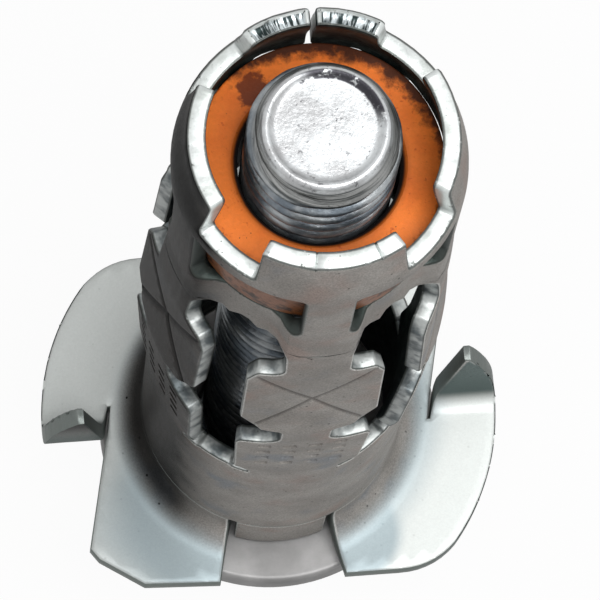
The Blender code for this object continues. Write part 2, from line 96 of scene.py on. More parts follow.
# Nut and washer
NUT_BORE = 4.2
NUT_EDGE = 0.12
NUT_COUNTERSINK = 0.35
NUT_STAIN = (-3.0, 4.15)
WASHER_HOLE = 4.25
WASHER_ROLL = 0.35
SHARP_EDGE = 0.08
ROUND_EDGE_STEPS = 5
RING_STEPS = 128

# Sleeve as a tube
SHEET = 1.0
SLEEVE_RADIUS = 7.65
SLEEVE_LENGTH = 56.0
SEAM_GAP = 0.3
SEAM_ROUND = 0.3
SEAM_LIP = 0.05
WING_TOP = SLEEVE_TOP - SLEEVE_LENGTH + SHEET
MID_RADIUS = SLEEVE_RADIUS - SHEET / 2
BLANK_WIDTH = 2 * math.pi * MID_RADIUS - SEAM_GAP
FRONT_AZIMUTH = -math.pi / 2

# Crown
TAB_FRONT_ANGLE = 64.0
TAB_SIDE_ANGLE = 58.0
TAB_RISE = 3.0
TAB_OUTER_ROUND = 0.35
TAB_INNER_ROUND = 0.25
TAB_BACK_ANGLE = 180.0 - TAB_FRONT_ANGLE / 2
TAB_CRIMP = 0.65
CRIMP_LENGTH = 4.0
SCORE_PLACES = (-1.05, 2.5)
SCORE_HALF_WIDTH = 0.09
SCORE_DEPTH = 0.16
BACK_RECESS = 0.22
BACK_RECESS_RIM = 0.19
RAGGED_DROP = 0.3

# Collar, slots and pressed ring
COLLAR_DEPTH = 4.0
BACK_COLLAR_DEPTH = 4.9
NECK_WIDTH = 2.5
SEAT_DEPTH = 10.6
RING_DEPTH = 14.0
RING_PRESS = 1.15
PRESS_START = 1.4
PRESS_FULL = 2.9
PRESS_FADE = 1.5

# Legs
LEG_COUNT = 5
LEG_PITCH = 2 * math.pi * MID_RADIUS / LEG_COUNT
WAIST_WIDTH = 3.5
CREASE_DEPTH = 12.3
PLATE_TOP = 17.3
PLATE_WIDTH = 7.3
PLATE_TOP_WIDTH = 6.2
KNEE_DEPTH = 27.8
PLATE_HALF = PLATE_WIDTH / 2
PLATE_MIDDLE = (PLATE_TOP + KNEE_DEPTH) / 2
PLATE_REACH = (KNEE_DEPTH - PLATE_TOP) / 2
KNEE_WIDTH = 2.7
KNEE_BULGE = 0.65
PLATE_DISH = 0.3
LOWER_PLATE_TOP = 30.5
ROOT_DEPTH = 40.0
ROOT_WIDTH = 5.0
ROOT_EASE = 3.0
ROOT_SLIT = 0.3
LEG_FLATNESS = 0.6
CORNER_CUT = 1.2
CORNER_DROP = 2.6
CROSS_HALF_WIDTH = 0.3
CROSS_DEPTH = 0.15
CROSS_REACH = 0.88
CROSS_SCALE = PLATE_HALF * PLATE_REACH / math.hypot(PLATE_HALF, PLATE_REACH)

# Small dents on the lower plates
DENT_COLUMNS = (-2.05, -0.7, 0.65, 2.0)
DENT_ROWS = (31.4, 32.9, 34.4, 35.9)
DENT_WIDTH = 0.74
DENT_HEIGHT = 0.72
DENT_WALL = 0.1
DENT_DEPTH = 0.22

# Flange: x and y are seen from the tail, with the right wing towards +x
BEND_RADIUS = 2.5
BEND_DEPTH = SLEEVE_LENGTH - SHEET / 2 - BEND_RADIUS
BEND_LENGTH = BEND_RADIUS * math.pi / 2
WING_RADIUS = 13.5
WING_HALF_WIDTH = 10.1
WING_ROOT_ANGLE = 24.0
WING_CORNER_X = 3.7
TONGUE_ANGLE = 20.5
SLIT_EDGE_ANGLE = 0.4
SLIT_EDGE = 0.05
SLIT_RISE = 0.6
NOTCH_GAP = 0.15
NOTCH_END_Y = 7.5
CORNER_ARC_Y = 8.2
CORNER_FLAT = 0.8
CORNER_EASE = 0.2
TOOTH_FOLD_Y = -1.0
TOOTH_WIDTH = 4.0
TOOTH_INNER_X = WING_RADIUS - TOOTH_WIDTH
TOOTH_TIP_Y = 6.9
TOOTH_ANGLE = 86.0
TOOTH_BEND_RADIUS = 1.7
TOOTH_COLUMNS = 10
FRONT_ROUND = 2.0
WING_STAIN = (4.6, -8.4)

# Rounding of the punched rims, and the spacing of the sheet's mesh
OUTER_RIM = 0.18
INNER_RIM = 0.05
RIM_STEPS = 2
CORNER_STEPS = 7
WING_ARC_STEPS = 36
WING_EDGE_STEP = 0.6
COLUMN_STEP = 0.6
ROW_STEP = 0.8
BEND_ROW_STEP = 0.3
LINE_GAP = 0.03
LINE_GAP_SHARE = 0.3
SHORTEST_EDGE = 0.012

# The sleeve's faces by finish, and the attribute that keeps each point's place on the flat blank
WALL_FINISH, EDGE_FINISH, INSIDE_FINISH = range(3)
BLANK_PLACE = "blank_place"

# Camera: where the photograph was taken from
CAMERA_EYE = Vector((-25.10, -87.57, 350.51))
CAMERA_AIM = Vector((0.72, 0.84, 30.0))
CAMERA_ROLL = 11.72
CAMERA_LENS = 357.6
CAMERA_CLIP = 10.0
SENSOR_WIDTH = 36.0

# Studio
FLOOR_SIZE = 3000.0
FLOOR_COLOUR = (0.62, 0.62, 0.62)
FLOOR_ROUGHNESS = 0.8
BACKGROUND_SHARE = 0.95
WORLD_STRENGTH = 0.36
SOFTBOX_SIZE = 320.0
SOFTBOX_PLACE = Vector((80.0, -105.0, 430.0))
SOFTBOX_POWER = 1.75
LAMP_AIM = Vector((0.0, 0.0, 40.0))

# Colours of the sleeve, as linear red, green and blue; the two of a pair are mixed by a pattern
SATIN_ZINC = ((0.225, 0.212, 0.197), (0.295, 0.28, 0.262))
WARM_BLOOM = (0.27, 0.205, 0.18)
BLUE_BLOOM = (0.16, 0.185, 0.215)
# Painted light: a paler copy of the zinc for the wings, which face up to the light
PAINTED_LIT_WING_ZINC = ((0.34, 0.4, 0.42), (0.6, 0.625, 0.61))
# Painted shade: the upright teeth, darker than the wings they stand on
PAINTED_TOOTH_SHADE = (0.13, 0.165, 0.16)
WORN_RIM = (0.5, 0.5, 0.48)
COLLAR_RIM = (0.035, 0.045, 0.04)
# Painted shade: near black, laid over the sleeve's left (-x) side, which faces away from the lamp
PAINTED_LEFT_SHADE = (0.008, 0.008, 0.008)
# Pale sheared zinc, partly painted light: it goes on the crown's ends, which face up
SHEARED_BRIGHT = ((0.5, 0.53, 0.51), (0.65, 0.68, 0.67))
SHEARED_DULL = ((0.1, 0.115, 0.12), (0.44, 0.46, 0.45))
SHEARED_FLANGE = (0.16, 0.18, 0.17)
# Painted shade: near black on the sheared sides of the collar's slots
PAINTED_SLOT_SHADE = (0.025, 0.034, 0.03)
EDGE_DIRT = (0.04, 0.045, 0.04)
TOOL_MARKS = ((0.02, 0.03, 0.03), (0.72, 0.78, 0.8))
# Painted shade for the tube's inner faces, and a painted highlight on their rims
PAINTED_INSIDE_SHADE = ((0.014, 0.022, 0.022), (0.05, 0.068, 0.064))
PAINTED_INSIDE_RIM_LIGHT = (0.2, 0.23, 0.22)

# Colours of the nut
ORANGE = ((0.88, 0.212, 0.03), (0.8, 0.172, 0.023))
SCRATCHED_ORANGE = (0.6, 0.1, 0.014)
BROWN_STAIN = (0.12, 0.02, 0.006)
# Painted shade: the collar wall's shadow on the nut's top, and a darker band round its hole
PAINTED_NUT_SHADE = (0.03, 0.01, 0.006)
# Painted shade: the nut's side, seen in the slots, darker than its top
PAINTED_NUT_SIDE_SHADE = (0.13, 0.045, 0.012)
# Darker mottled patches on the nut's side
NUT_SIDE_MOTTLE = (0.03, 0.012, 0.006)
NUT_PITS = (0.12, 0.03, 0.01)
# Painted shade in the nut's bore
PAINTED_BORE_SHADE = (0.012, 0.01, 0.01)

# Colours of the bolt and the washer
TURNED_CONE = ((0.05, 0.055, 0.055), (0.33, 0.335, 0.33))
PLAIN_HEAD = ((0.4, 0.41, 0.42), (0.5, 0.51, 0.52))
TIP_FACE = ((0.44, 0.445, 0.45), (0.6, 0.62, 0.63))
SHANK_ZINC = ((0.36, 0.38, 0.39), (0.15, 0.175, 0.2))
# Painted shade in the thread's roots
PAINTED_THREAD_ROOT_SHADE = (0.015, 0.02, 0.028)
# Dark pits and chips on the tip, and the painted shade of its crescent
TIP_DIRT_AND_SHADE = (0.03, 0.028, 0.035)
WASHER_ZINC = ((0.2, 0.198, 0.196), (0.28, 0.277, 0.275))


# Shader fields

class Field:
    """A value that changes over a surface: one output socket of a finish."""

    def __init__(self, finish, socket):
        self.finish = finish
        self.socket = socket

    def math(self, operation, *others):
        """The field, or the field and another value, through a Math node."""
        inputs = dict(enumerate((self, *others)))
        return self.finish.node("ShaderNodeMath", {"operation": operation}, inputs)

    def __add__(self, other):
        return self.math("ADD", other)

    def __sub__(self, other):
        return self.math("SUBTRACT", other)

    def __rsub__(self, other):
        return self.finish.node("ShaderNodeMath", {"operation": "SUBTRACT"}, {0: other, 1: self})

    def __mul__(self, other):
        return self.math("MULTIPLY", other)

    def __truediv__(self, other):
        return self.math("DIVIDE", other)

    __radd__ = __add__
    __rmul__ = __mul__

    def between(self, low, high):
        """0 at low, 1 at high, and a smooth step between them. High may be the lower one."""
        settings = {"interpolation_type": "SMOOTHSTEP", "clamp": True}
        inputs = {"Value": self, "From Min": low, "From Max": high}
        return self.finish.node("ShaderNodeMapRange", settings, inputs)


class Finish:
    """A node material on a Principled shader, with its places in millimetres."""

    def __init__(self, name):
        self.material = bpy.data.materials.new(name)
        self.material.use_nodes = True
        self.tree = self.material.node_tree
        self.shader = self.tree.nodes["Principled BSDF"]
        object_place = self.node("ShaderNodeTexCoord", {}, {}, "Object")
        per_mm = (1 / MM, 1 / MM, 1 / MM)
        self.place = self.node("ShaderNodeVectorMath", {"operation": "MULTIPLY"},
                               {0: object_place, 1: per_mm})
        axes = self.node("ShaderNodeSeparateXYZ", {}, {0: self.place}, None)
        self.x, self.y, self.z = (Field(self, socket) for socket in axes.outputs)
        self.radius = (self.x * self.x + self.y * self.y).math("SQRT")

    def away_from(self, spot):
        """The distance from an upright line through (x, y)."""
        off_x = self.x - spot[0]
        off_y = self.y - spot[1]
        return (off_x * off_x + off_y * off_y).math("SQRT")

    def on_blank(self):
        """Where a point of the sleeve lay on the flat blank: the place, then across, depth and outward."""
        place = self.node("ShaderNodeAttribute", {"attribute_name": BLANK_PLACE}, {}, "Vector")
        axes = self.node("ShaderNodeSeparateXYZ", {}, {0: place}, None)
        return [place, *(Field(self, socket) for socket in axes.outputs)]

    def node(self, kind, settings, inputs, output=0):
        """Adds a node: its settings first, then values or links. Returns an output, or the node."""
        made = self.tree.nodes.new(kind)
        for name, value in settings.items():
            setattr(made, name, value)
        for name, value in inputs.items():
            self.feed(made.inputs[name], value)
        return made if output is None else Field(self, made.outputs[output])

    def feed(self, socket, value):
        """Links a field to a socket, or sets a number, a colour or a vector on it."""
        if isinstance(value, Field):
            self.tree.links.new(value.socket, socket)
        elif isinstance(value, tuple) and len(value) == 3 and socket.type == "RGBA":
            socket.default_value = (*value, 1.0)
        else:
            socket.default_value = value

    def shifted(self, shift, stretch=(1.0, 1.0, 1.0), place=None):
        """A place stretched and moved away, so that no two patterns are alike."""
        away = (shift, shift * 0.7, shift * 1.3)
        inputs = {0: place or self.place, 1: stretch, 2: away}
        return self.node("ShaderNodeVectorMath", {"operation": "MULTIPLY_ADD"}, inputs)

    def noise(self, per_mm, detail=3.0, roughness=0.55, stretch=(1.0, 1.0, 1.0), shift=0.0, place=None):
        """Cloudy noise around 0.5, with so many features a millimetre."""
        vector = self.shifted(shift, stretch, place)
        inputs = {"Vector": vector, "Scale": per_mm, "Detail": detail, "Roughness": roughness}
        return self.node("ShaderNodeTexNoise", {}, inputs)

    def specks(self, per_mm, size, shift=0.0):
        """1 in small scattered spots and 0 elsewhere. Size is a share of the spacing."""
        inputs = {"Vector": self.shifted(shift), "Scale": per_mm}
        spots = self.node("ShaderNodeTexVoronoi", {}, inputs, "Distance")
        return spots.between(size, size * 0.5)

    def mix(self, first, second, factor):
        """A colour between two colours, which may be fields or (r, g, b). Inputs 6 and 7 take colours."""
        return self.node("ShaderNodeMix", {"data_type": "RGBA"}, {0: factor, 6: first, 7: second}, 2)

    def shade(self, colour, factor):
        """A colour made lighter or darker by a field."""
        return self.node("ShaderNodeVectorMath", {"operation": "SCALE"}, {0: colour, "Scale": factor})

    def bump(self, height, distance):
        """A normal from a height field from 0 to 1 that stands for a distance in millimetres."""
        return self.node("ShaderNodeBump", {}, {"Height": height, "Distance": distance * MM})

    def tint_edges(self, share, gloss=0.5):
        """Dulls metal where it is seen along its surface, and the gloss of what isn't metal."""
        self.shader.inputs["Specular Tint"].default_value = (share, share, share, 1.0)
        self.shader.inputs["Specular IOR Level"].default_value = gloss

    def set(self, **values):
        """Feeds the Principled shader: base_color, roughness, metallic, coat_weight or normal."""
        for name, value in values.items():
            self.feed(self.shader.inputs[name.replace("_", " ").title()], value)
        return self.material


# Finishes

def plate_grooves(across, depth):
    """1 in the crossing grooves of the upper plates: the mask of their painted shade."""
    beside = across - (across / LEG_PITCH).math("ROUND") * LEG_PITCH
    sideways = beside.math("ABSOLUTE") * (1 / PLATE_HALF)
    down = (depth - PLATE_MIDDLE).math("ABSOLUTE") * (1 / PLATE_REACH)
    off_line = (sideways - down).math("ABSOLUTE") * CROSS_SCALE
    inside = sideways.math("MAXIMUM", down).between(CROSS_REACH, CROSS_REACH - 0.1)
    return off_line.between(0.2, 0.05) * inside


def wing_painted_light(finish):
    """Painted light on a wing: 1 where it is painted brightest, far out and at the back, with painted shade
    near the tube, and lower at the stains on its front.
    """
    soft = finish.noise(0.09, detail=2.0, roughness=0.4, shift=21.0)
    stained = (finish.x * -0.5 + finish.y * -0.85).between(6.0, 12.0)
    corner = finish.away_from(WING_STAIN).between(3.4, 1.0)
    backward = (finish.y - 0.4 * finish.x).between(-1.0, 3.5)
    reach = finish.radius + 2.4 * (soft - 0.5) + 1.6 * backward - 3.0 * stained - 3.4 * corner
    return reach.between(8.5, 11.2)


def zinc_wall():
    """The rolled faces of the sheet: satin grey zinc, with a paler copy on the wings as painted light where
    they face up.
    """
    finish = Finish("zinc_wall")
    _, across, depth, outward = finish.on_blank()
    grain = finish.noise(9.0, detail=2.0, roughness=0.75)
    cloud = finish.noise(0.35, detail=3.0, shift=4.0)
    tint = finish.noise(0.3, detail=2.0, shift=9.0)
    drawn = finish.noise(3.4, detail=3.0, stretch=(1.0, 1.0, 0.2), shift=2.0)
    grey = finish.mix(*SATIN_ZINC, cloud.between(0.3, 0.7))
    warm = finish.mix(grey, WARM_BLOOM, tint.between(0.52, 0.75) * 0.7)
    cool = finish.mix(warm, BLUE_BLOOM, tint.between(0.45, 0.25) * 0.6)
    # Painted light: the wings, which face up, get the paler zinc, brightest far from the tube and at the
    # back
    flange = finish.z.between(WING_TOP + 5.7, WING_TOP + 1.7) * finish.radius.between(7.9, 9.4)
    # Painted shade: the upright teeth are kept out of the wings' painted light and given a darker colour
    tooth = finish.z.between(WING_TOP + 0.2, WING_TOP + 1.1) * finish.radius.between(9.4, 9.9)
    with_lit_wings = finish.mix(cool, finish.mix(*PAINTED_LIT_WING_ZINC, wing_painted_light(finish)), flange * (1 - tooth))
    toothed = finish.mix(with_lit_wings, PAINTED_TOOTH_SHADE, tooth)
    rough = 1 - 0.8 * flange
    speckle = 1.0 + rough * (1.1 * (grain - 0.5) + 0.16 * (drawn - 0.5))
    rim = outward.between(0.499, 0.455) * rough
    above_legs = depth.between(CREASE_DEPTH + 1.0, CREASE_DEPTH)
    worn = finish.mix(toothed, WORN_RIM, rim * grain.between(0.25, 0.45))
    rimmed = finish.mix(worn, COLLAR_RIM, rim * above_legs * 0.8)
    dark_spots = finish.specks(1.1, 0.1, shift=3.0) * rough
    # Painted shade: the walls turn near black towards the left (-x) side, a little more on the collar, as
    # if turned away from the light
    left_shade = (2.5 * (cloud - 0.5) - finish.x).between(3.8, 6.8) * rough
    collar = finish.z.between(SLEEVE_TOP - 8.0, SLEEVE_TOP - 5.0)
    # Painted shade in the crossing grooves; the dark spots are real specks
    dark = plate_grooves(across, depth) * 0.45 + dark_spots * 0.6 + left_shade * (0.93 + 0.06 * collar)
    colour = finish.shade(finish.mix(rimmed, PAINTED_LEFT_SHADE, dark.math("MINIMUM", 0.99)), speckle)
    height = (0.7 * grain + 0.3 * drawn) * rough
    finish.tint_edges(0.25, gloss=0.05)
    return finish.set(base_color=colour, metallic=0.12 + 0.4 * flange, roughness=0.44 + 0.12 * drawn,
                      normal=finish.bump(height, 0.03))


def zinc_edge():
    """The sheared faces: pale on the crown, partly their own tone and partly painted light on the ends that
    face up, duller below, near black in the collar's slots as painted shade, with dark rims, specks and
    scratches.
    """
    finish = Finish("zinc_edge")
    blank, across, depth, outward = finish.on_blank()
    grain = finish.noise(5.0, detail=3.0, roughness=0.6)
    cloud = finish.noise(0.8, detail=3.0, shift=6.0)
    ragged = finish.noise(3.0, detail=4.0, shift=5.0)
    specks = finish.specks(3.2, 0.16, shift=1.0) * finish.noise(1.2, shift=3.0).between(0.48, 0.62)
    scratches = finish.noise(1.3, detail=5.0, roughness=0.7, stretch=(3.0, 0.8, 0.8), shift=51.0)
    pale = finish.mix(*SHEARED_BRIGHT, cloud.between(0.3, 0.55))
    scratched = finish.shade(pale, 0.86 + 0.14 * scratches.between(0.3, 0.42))
    dull = finish.mix(*SHEARED_DULL, cloud.between(0.32, 0.62))
    tab_foot = SLEEVE_TOP - TAB_RISE
    slot_foot = SLEEVE_TOP - RING_DEPTH
    # Partly painted light: the crown's up-facing ends get the pale colour, the edges below the duller one
    crown = finish.z.between(tab_foot - 1.4, tab_foot - 0.6)
    flange = finish.z.between(WING_TOP + 7.5, WING_TOP + 6.0)
    # Painted shade: the sheared sides of the slots, between the crown and the ring, darkened almost to
    # black
    slot = finish.z.between(slot_foot, slot_foot + 0.5) * (1 - crown)
    crowned = finish.mix(dull, scratched, crown)
    toned = finish.mix(finish.mix(crowned, SHEARED_FLANGE, flange), PAINTED_SLOT_SHADE, slot * 0.93)
    rims = outward.math("ABSOLUTE").between(0.32, 0.42) * ragged.between(0.2, 0.42)
    tears = finish.noise(1.6, detail=4.0, shift=15.0).between(0.58, 0.68)
    torn = crown * outward.between(0.1, 0.3) * tears
    dark = (specks + rims + torn).math("MINIMUM", 1.0) * (1 - flange)
    spotted = finish.mix(toned, EDGE_DIRT, dark * 0.85)
    stripes = finish.noise(1.0, roughness=0.6, stretch=(5.0, 0.4, 0.7), shift=12.0, place=blank)
    back_tab = along_tube(TAB_BACK_ANGLE + 1.0)
    back = across.math("ABSOLUTE").between(back_tab, back_tab + along_tube(1.5))
    sunk = back * depth.between(0.5, 0.3) * depth.between(0.06, 0.14)
    marked = finish.mix(spotted, finish.mix(*TOOL_MARKS, stripes.between(0.42, 0.6)), sunk)
    finish.tint_edges(0.5, gloss=0.3)
    return finish.set(base_color=finish.shade(marked, 0.86 + 0.28 * grain), metallic=0.7,
                      roughness=0.36 + 0.1 * cloud, normal=finish.bump(grain, 0.014))


def zinc_inside():
    """The tube's inner faces: painted shade, nearly black, with a paler painted highlight towards their
    rims.
    """
    finish = Finish("zinc_inside")
    *_, outward = finish.on_blank()
    grain = finish.noise(5.0, detail=3.0, roughness=0.6)
    cloud = finish.noise(0.9, detail=3.0, shift=6.0)
    # Painted shade inside the tube, with a painted highlight near the rims
    shaded_inside = finish.mix(*PAINTED_INSIDE_SHADE, cloud.between(0.4, 0.65))
    rimmed = finish.mix(shaded_inside, PAINTED_INSIDE_RIM_LIGHT, outward.between(-0.495, -0.46) * 0.7)
    finish.tint_edges(0.3, gloss=0.25)
    return finish.set(base_color=finish.shade(rimmed, 0.7 + 0.6 * grain), metallic=0.35, roughness=0.42,
                      normal=finish.bump(grain, 0.03))


def orange_coat():
    """The nut's orange coating, with painted shade: the collar wall's shadow at the back and right, a band
    round the hole, a nearly black bore and a darker side; with darker mottled patches on the side, a brown
    stain, scratches and fine pits.
    """
    finish = Finish("orange_coat")
    cloud = finish.noise(0.55, detail=4.0, roughness=0.6)
    grain = finish.noise(6.0, detail=3.0)
    streaks = finish.noise(1.4, detail=5.0, roughness=0.65, shift=5.0)
    # Painted shadow of the collar wall on the nut's top, darkest at the back and right; painted shade round
    # the hole and in the bore
    backward = (finish.y * 0.92 + finish.x * 0.4).between(0.5, 5.5)
    wall_shadow = (finish.radius + 0.9 * backward + 2.0 * (streaks - 0.5)).between(6.3, 7.1)
    hole = finish.radius.between(4.85, 4.3)
    bore = finish.radius.between(4.5, 4.3)
    # Painted shade: the nut's side darker than its top, with darker mottled patches
    side = finish.z.between(NUT_TOP - 0.06, NUT_TOP - 0.25)
    stain = (finish.away_from(NUT_STAIN) + 1.6 * (streaks - 0.5)).between(1.05, 0.75)
    orange = finish.mix(*ORANGE, cloud.between(0.4, 0.75))
    scratches = finish.noise(3.5, detail=5.0, shift=3.0).between(0.6, 0.75)
    stained = finish.mix(finish.mix(orange, SCRATCHED_ORANGE, scratches), BROWN_STAIN, stain * 0.9)
    nut_shaded = finish.mix(stained, PAINTED_NUT_SHADE, (wall_shadow * 0.95 + hole * 0.5).math("MINIMUM", 0.95))
    sided = finish.mix(nut_shaded, PAINTED_NUT_SIDE_SHADE, side * 0.95)
    mottled_side = finish.mix(sided, NUT_SIDE_MOTTLE, side * streaks.between(0.46, 0.64))
    pits = finish.specks(2.3, 0.09, shift=7.0) * finish.noise(0.7, shift=8.0).between(0.45, 0.6)
    colour = finish.mix(finish.mix(mottled_side, NUT_PITS, pits), PAINTED_BORE_SHADE, bore)
    finish.tint_edges(1.0, gloss=0.2)
    return finish.set(base_color=finish.shade(colour, 0.88 + 0.24 * grain), metallic=0.0,
                      roughness=0.45 + 0.15 * wall_shadow, normal=finish.bump(0.6 * streaks + 0.4 * grain, 0.035))


def zinc_bolt():
    """Bright zinc with scratches, chips and dark pits on the tip, a painted shade crescent inside the tip's
    rim, painted shade in the thread roots and on the shank below the nut's top.
    """
    finish = Finish("zinc_bolt")
    grain = finish.noise(6.0, detail=3.0, roughness=0.6)
    cloud = finish.noise(0.45, detail=4.0, shift=2.0)
    scratches = finish.noise(2.2, detail=5.0, roughness=0.65, stretch=(1.5, 1.0, 1.0), shift=6.0)
    rings = finish.noise(1.0, detail=4.0, roughness=0.7, stretch=(0.15, 0.15, 6.0), shift=31.0)
    cone_foot = BOLT_TIP - TIP_CONE
    past_head = finish.z.between(HEAD_TOP, HEAD_TOP + 0.1)
    tip = finish.z.between(BOLT_TIP - 0.55, BOLT_TIP - 0.3)
    thread = finish.z.between(cone_foot, cone_foot - 0.3) * past_head
    # Painted shade in the thread's roots
    root = finish.radius.between(THREAD_RADIUS - 0.12, THREAD_RADIUS - THREAD_DEPTH + 0.1)
    turned_cone = finish.mix(*TURNED_CONE, rings.between(0.38, 0.58))
    plain_head = finish.mix(*PLAIN_HEAD, cloud.between(0.35, 0.6))
    face = finish.mix(*TIP_FACE, cloud.between(0.36, 0.56))
    scratched_face = finish.shade(face, scratches.between(0.2, 0.5) * 0.14 + 0.86)
    ends = finish.mix(finish.mix(plain_head, turned_cone, past_head), scratched_face, tip)
    shank = finish.mix(*SHANK_ZINC, cloud.between(0.4, 0.6))
    # Painted shade: the shank darkens from the nut's top down, inside the nut and the sleeve
    shaded_shank = finish.shade(shank, 1.0 - 0.35 * finish.z.between(NUT_TOP, NUT_BOTTOM))
    threaded = finish.mix(ends, finish.mix(shaded_shank, PAINTED_THREAD_ROOT_SHADE, root), thread)
    # Painted shade: a dark crescent on the inner slope of the tip's rim, towards the back right
    ring_inside = finish.radius.between(TIP_FACE_RADIUS - 0.75, TIP_FACE_RADIUS - 0.6)
    ring_outside = finish.radius.between(TIP_FACE_RADIUS - 0.16, TIP_FACE_RADIUS - 0.26)
    crescent = ring_inside * ring_outside * tip * (finish.x * 0.55 + finish.y * 0.85).between(1.2, 2.3)
    crescent_shade = crescent * finish.noise(2.4, detail=5.0, shift=11.0).between(0.3, 0.46)
    chips = tip * finish.noise(2.2, detail=5.0, roughness=0.7, shift=43.0).between(0.58, 0.66)
    pits = finish.specks(2.4, 0.13, shift=5.0) * finish.noise(0.9, shift=1.5).between(0.48, 0.6)
    dark = (crescent_shade + chips * 0.6 + pits * 0.8).math("MINIMUM", 1.0)
    dirt_and_shade = finish.mix(threaded, TIP_DIRT_AND_SHADE, dark * 0.97)
    height = 0.4 * grain + 0.6 * scratches
    finish.tint_edges(0.5, gloss=0.3)
    return finish.set(base_color=finish.shade(dirt_and_shade, 0.82 + 0.3 * grain), metallic=0.85,
                      roughness=0.3 + 0.16 * cloud, normal=finish.bump(height, 0.04))


def zinc_washer():
    """Satin zinc on the washer, with faint tumbling marks."""
    finish = Finish("zinc_washer")
    grain = finish.noise(5.0, detail=3.0)
    cloud = finish.noise(0.3, detail=3.0, shift=3.0)
    marks = finish.noise(1.2, detail=4.0, stretch=(1.0, 0.3, 1.0), shift=8.0)
    zinc = finish.mix(*WASHER_ZINC, cloud.between(0.3, 0.7))
    colour = finish.shade(zinc, 0.86 + 0.14 * grain + 0.14 * marks)
    finish.tint_edges(0.5, gloss=0.3)
    return finish.set(base_color=colour, metallic=0.7, roughness=0.42 + 0.1 * marks,
                      normal=finish.bump(0.5 * grain + 0.5 * marks, 0.008))


# Meshes

def finish_piece(name, shape, finishes, node, body, sharp_angle=None):
    """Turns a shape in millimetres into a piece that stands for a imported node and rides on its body."""
    bmesh.ops.scale(shape, vec=(MM, MM, MM), verts=shape.verts)
    mesh = bpy.data.meshes.new(name)
    shape.to_mesh(mesh)
    shape.free()
    for material in finishes:
        mesh.materials.append(material)
    mesh.shade_smooth()
    if sharp_angle:
        mesh.set_sharp_from_angle(angle=math.radians(sharp_angle))
    piece = bpy.data.objects.new(name, mesh)
    bpy.context.scene.collection.objects.link(piece)
    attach(piece, body)
    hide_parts(node)


def turned(profile, steps, start_angle=0.0):
    """A closed solid of revolution about Z from (radius, height) points that run down its outer side."""
    shape = bmesh.new()
    turn = math.radians(start_angle)
    verts = [shape.verts.new((radius * math.cos(turn), radius * math.sin(turn), height))
             for radius, height in profile]
    edges = [shape.edges.new(pair) for pair in zip(verts, verts[1:])]
    if profile[0][0] > 0:
        edges.append(shape.edges.new((verts[-1], verts[0])))
    bmesh.ops.spin(shape, geom=verts + edges, cent=(0, 0, 0), axis=(0, 0, 1), angle=2 * math.pi,
                   steps=steps, use_merge=True)
    bmesh.ops.remove_doubles(shape, verts=shape.verts, dist=MERGE)
    bmesh.ops.recalc_face_normals(shape, faces=shape.faces)
    return shape


def arc(centre, radius, start, end, steps):
    """Points of (radius, height) along an arc between two angles in degrees."""
    points = []
    for step in range(steps + 1):
        angle = math.radians(start + (end - start) * step / steps)
        points.append((centre[0] + radius * math.cos(angle), centre[1] + radius * math.sin(angle)))
    return points


def eased(value, start, end):
    """0 before start, 1 past end, and a smooth step between them."""
    share = min(max((value - start) / (end - start), 0.0), 1.0)
    return share * share * (3 - 2 * share)


def rounded(corners):
    """The outline through (x, y, radius) corners, each turned into an arc of its radius."""
    outline = []
    count = len(corners)
    for index, (x, y, radius) in enumerate(corners):
        here = Vector((x, y))
        before = Vector(corners[index - 1][:2]) - here
        after = Vector(corners[(index + 1) % count][:2]) - here
        half = before.angle(after) / 2
        if radius <= 0 or half > math.radians(89):
            outline.append(here)
            continue
        reach = min(radius / math.tan(half), before.length * 0.49, after.length * 0.49)
        radius = reach * math.tan(half)
        centre = here + (before.normalized() + after.normalized()).normalized() * (radius / math.sin(half))
        start = here + before.normalized() * reach - centre
        end = here + after.normalized() * reach - centre
        sweep = start.angle_signed(end)
        for step in range(CORNER_STEPS + 1):
            turn = -sweep * step / CORNER_STEPS
            spoke = Vector((start.x * math.cos(turn) - start.y * math.sin(turn),
                            start.x * math.sin(turn) + start.y * math.cos(turn)))
            outline.append(centre + spoke)
    return outline


def along_tube(angle):
    """The blank's x for an angle round the tube from its front, in degrees."""
    return math.radians(angle) * MID_RADIUS


# Outlines of the sleeve's blank

def crown_corners():
    """The blank's top edge on the right of the front, from the seam to the front tab."""
    front = along_tube(TAB_FRONT_ANGLE / 2)
    side_middle = along_tube(90.0)
    side = along_tube(TAB_SIDE_ANGLE / 2)
    back = along_tube(TAB_BACK_ANGLE)
    return [
        (BLANK_WIDTH / 2, 0.0, SEAM_ROUND),
        (back, 0.0, TAB_OUTER_ROUND),
        (back, -TAB_RISE, TAB_INNER_ROUND),
        (side_middle + side, -TAB_RISE, TAB_INNER_ROUND),
        (side_middle + side, 0.0, TAB_OUTER_ROUND),
        (side_middle - side, 0.0, TAB_OUTER_ROUND),
        (side_middle - side, -TAB_RISE, TAB_INNER_ROUND),
        (front, -TAB_RISE, TAB_INNER_ROUND),
        (front, 0.0, TAB_OUTER_ROUND),
    ]


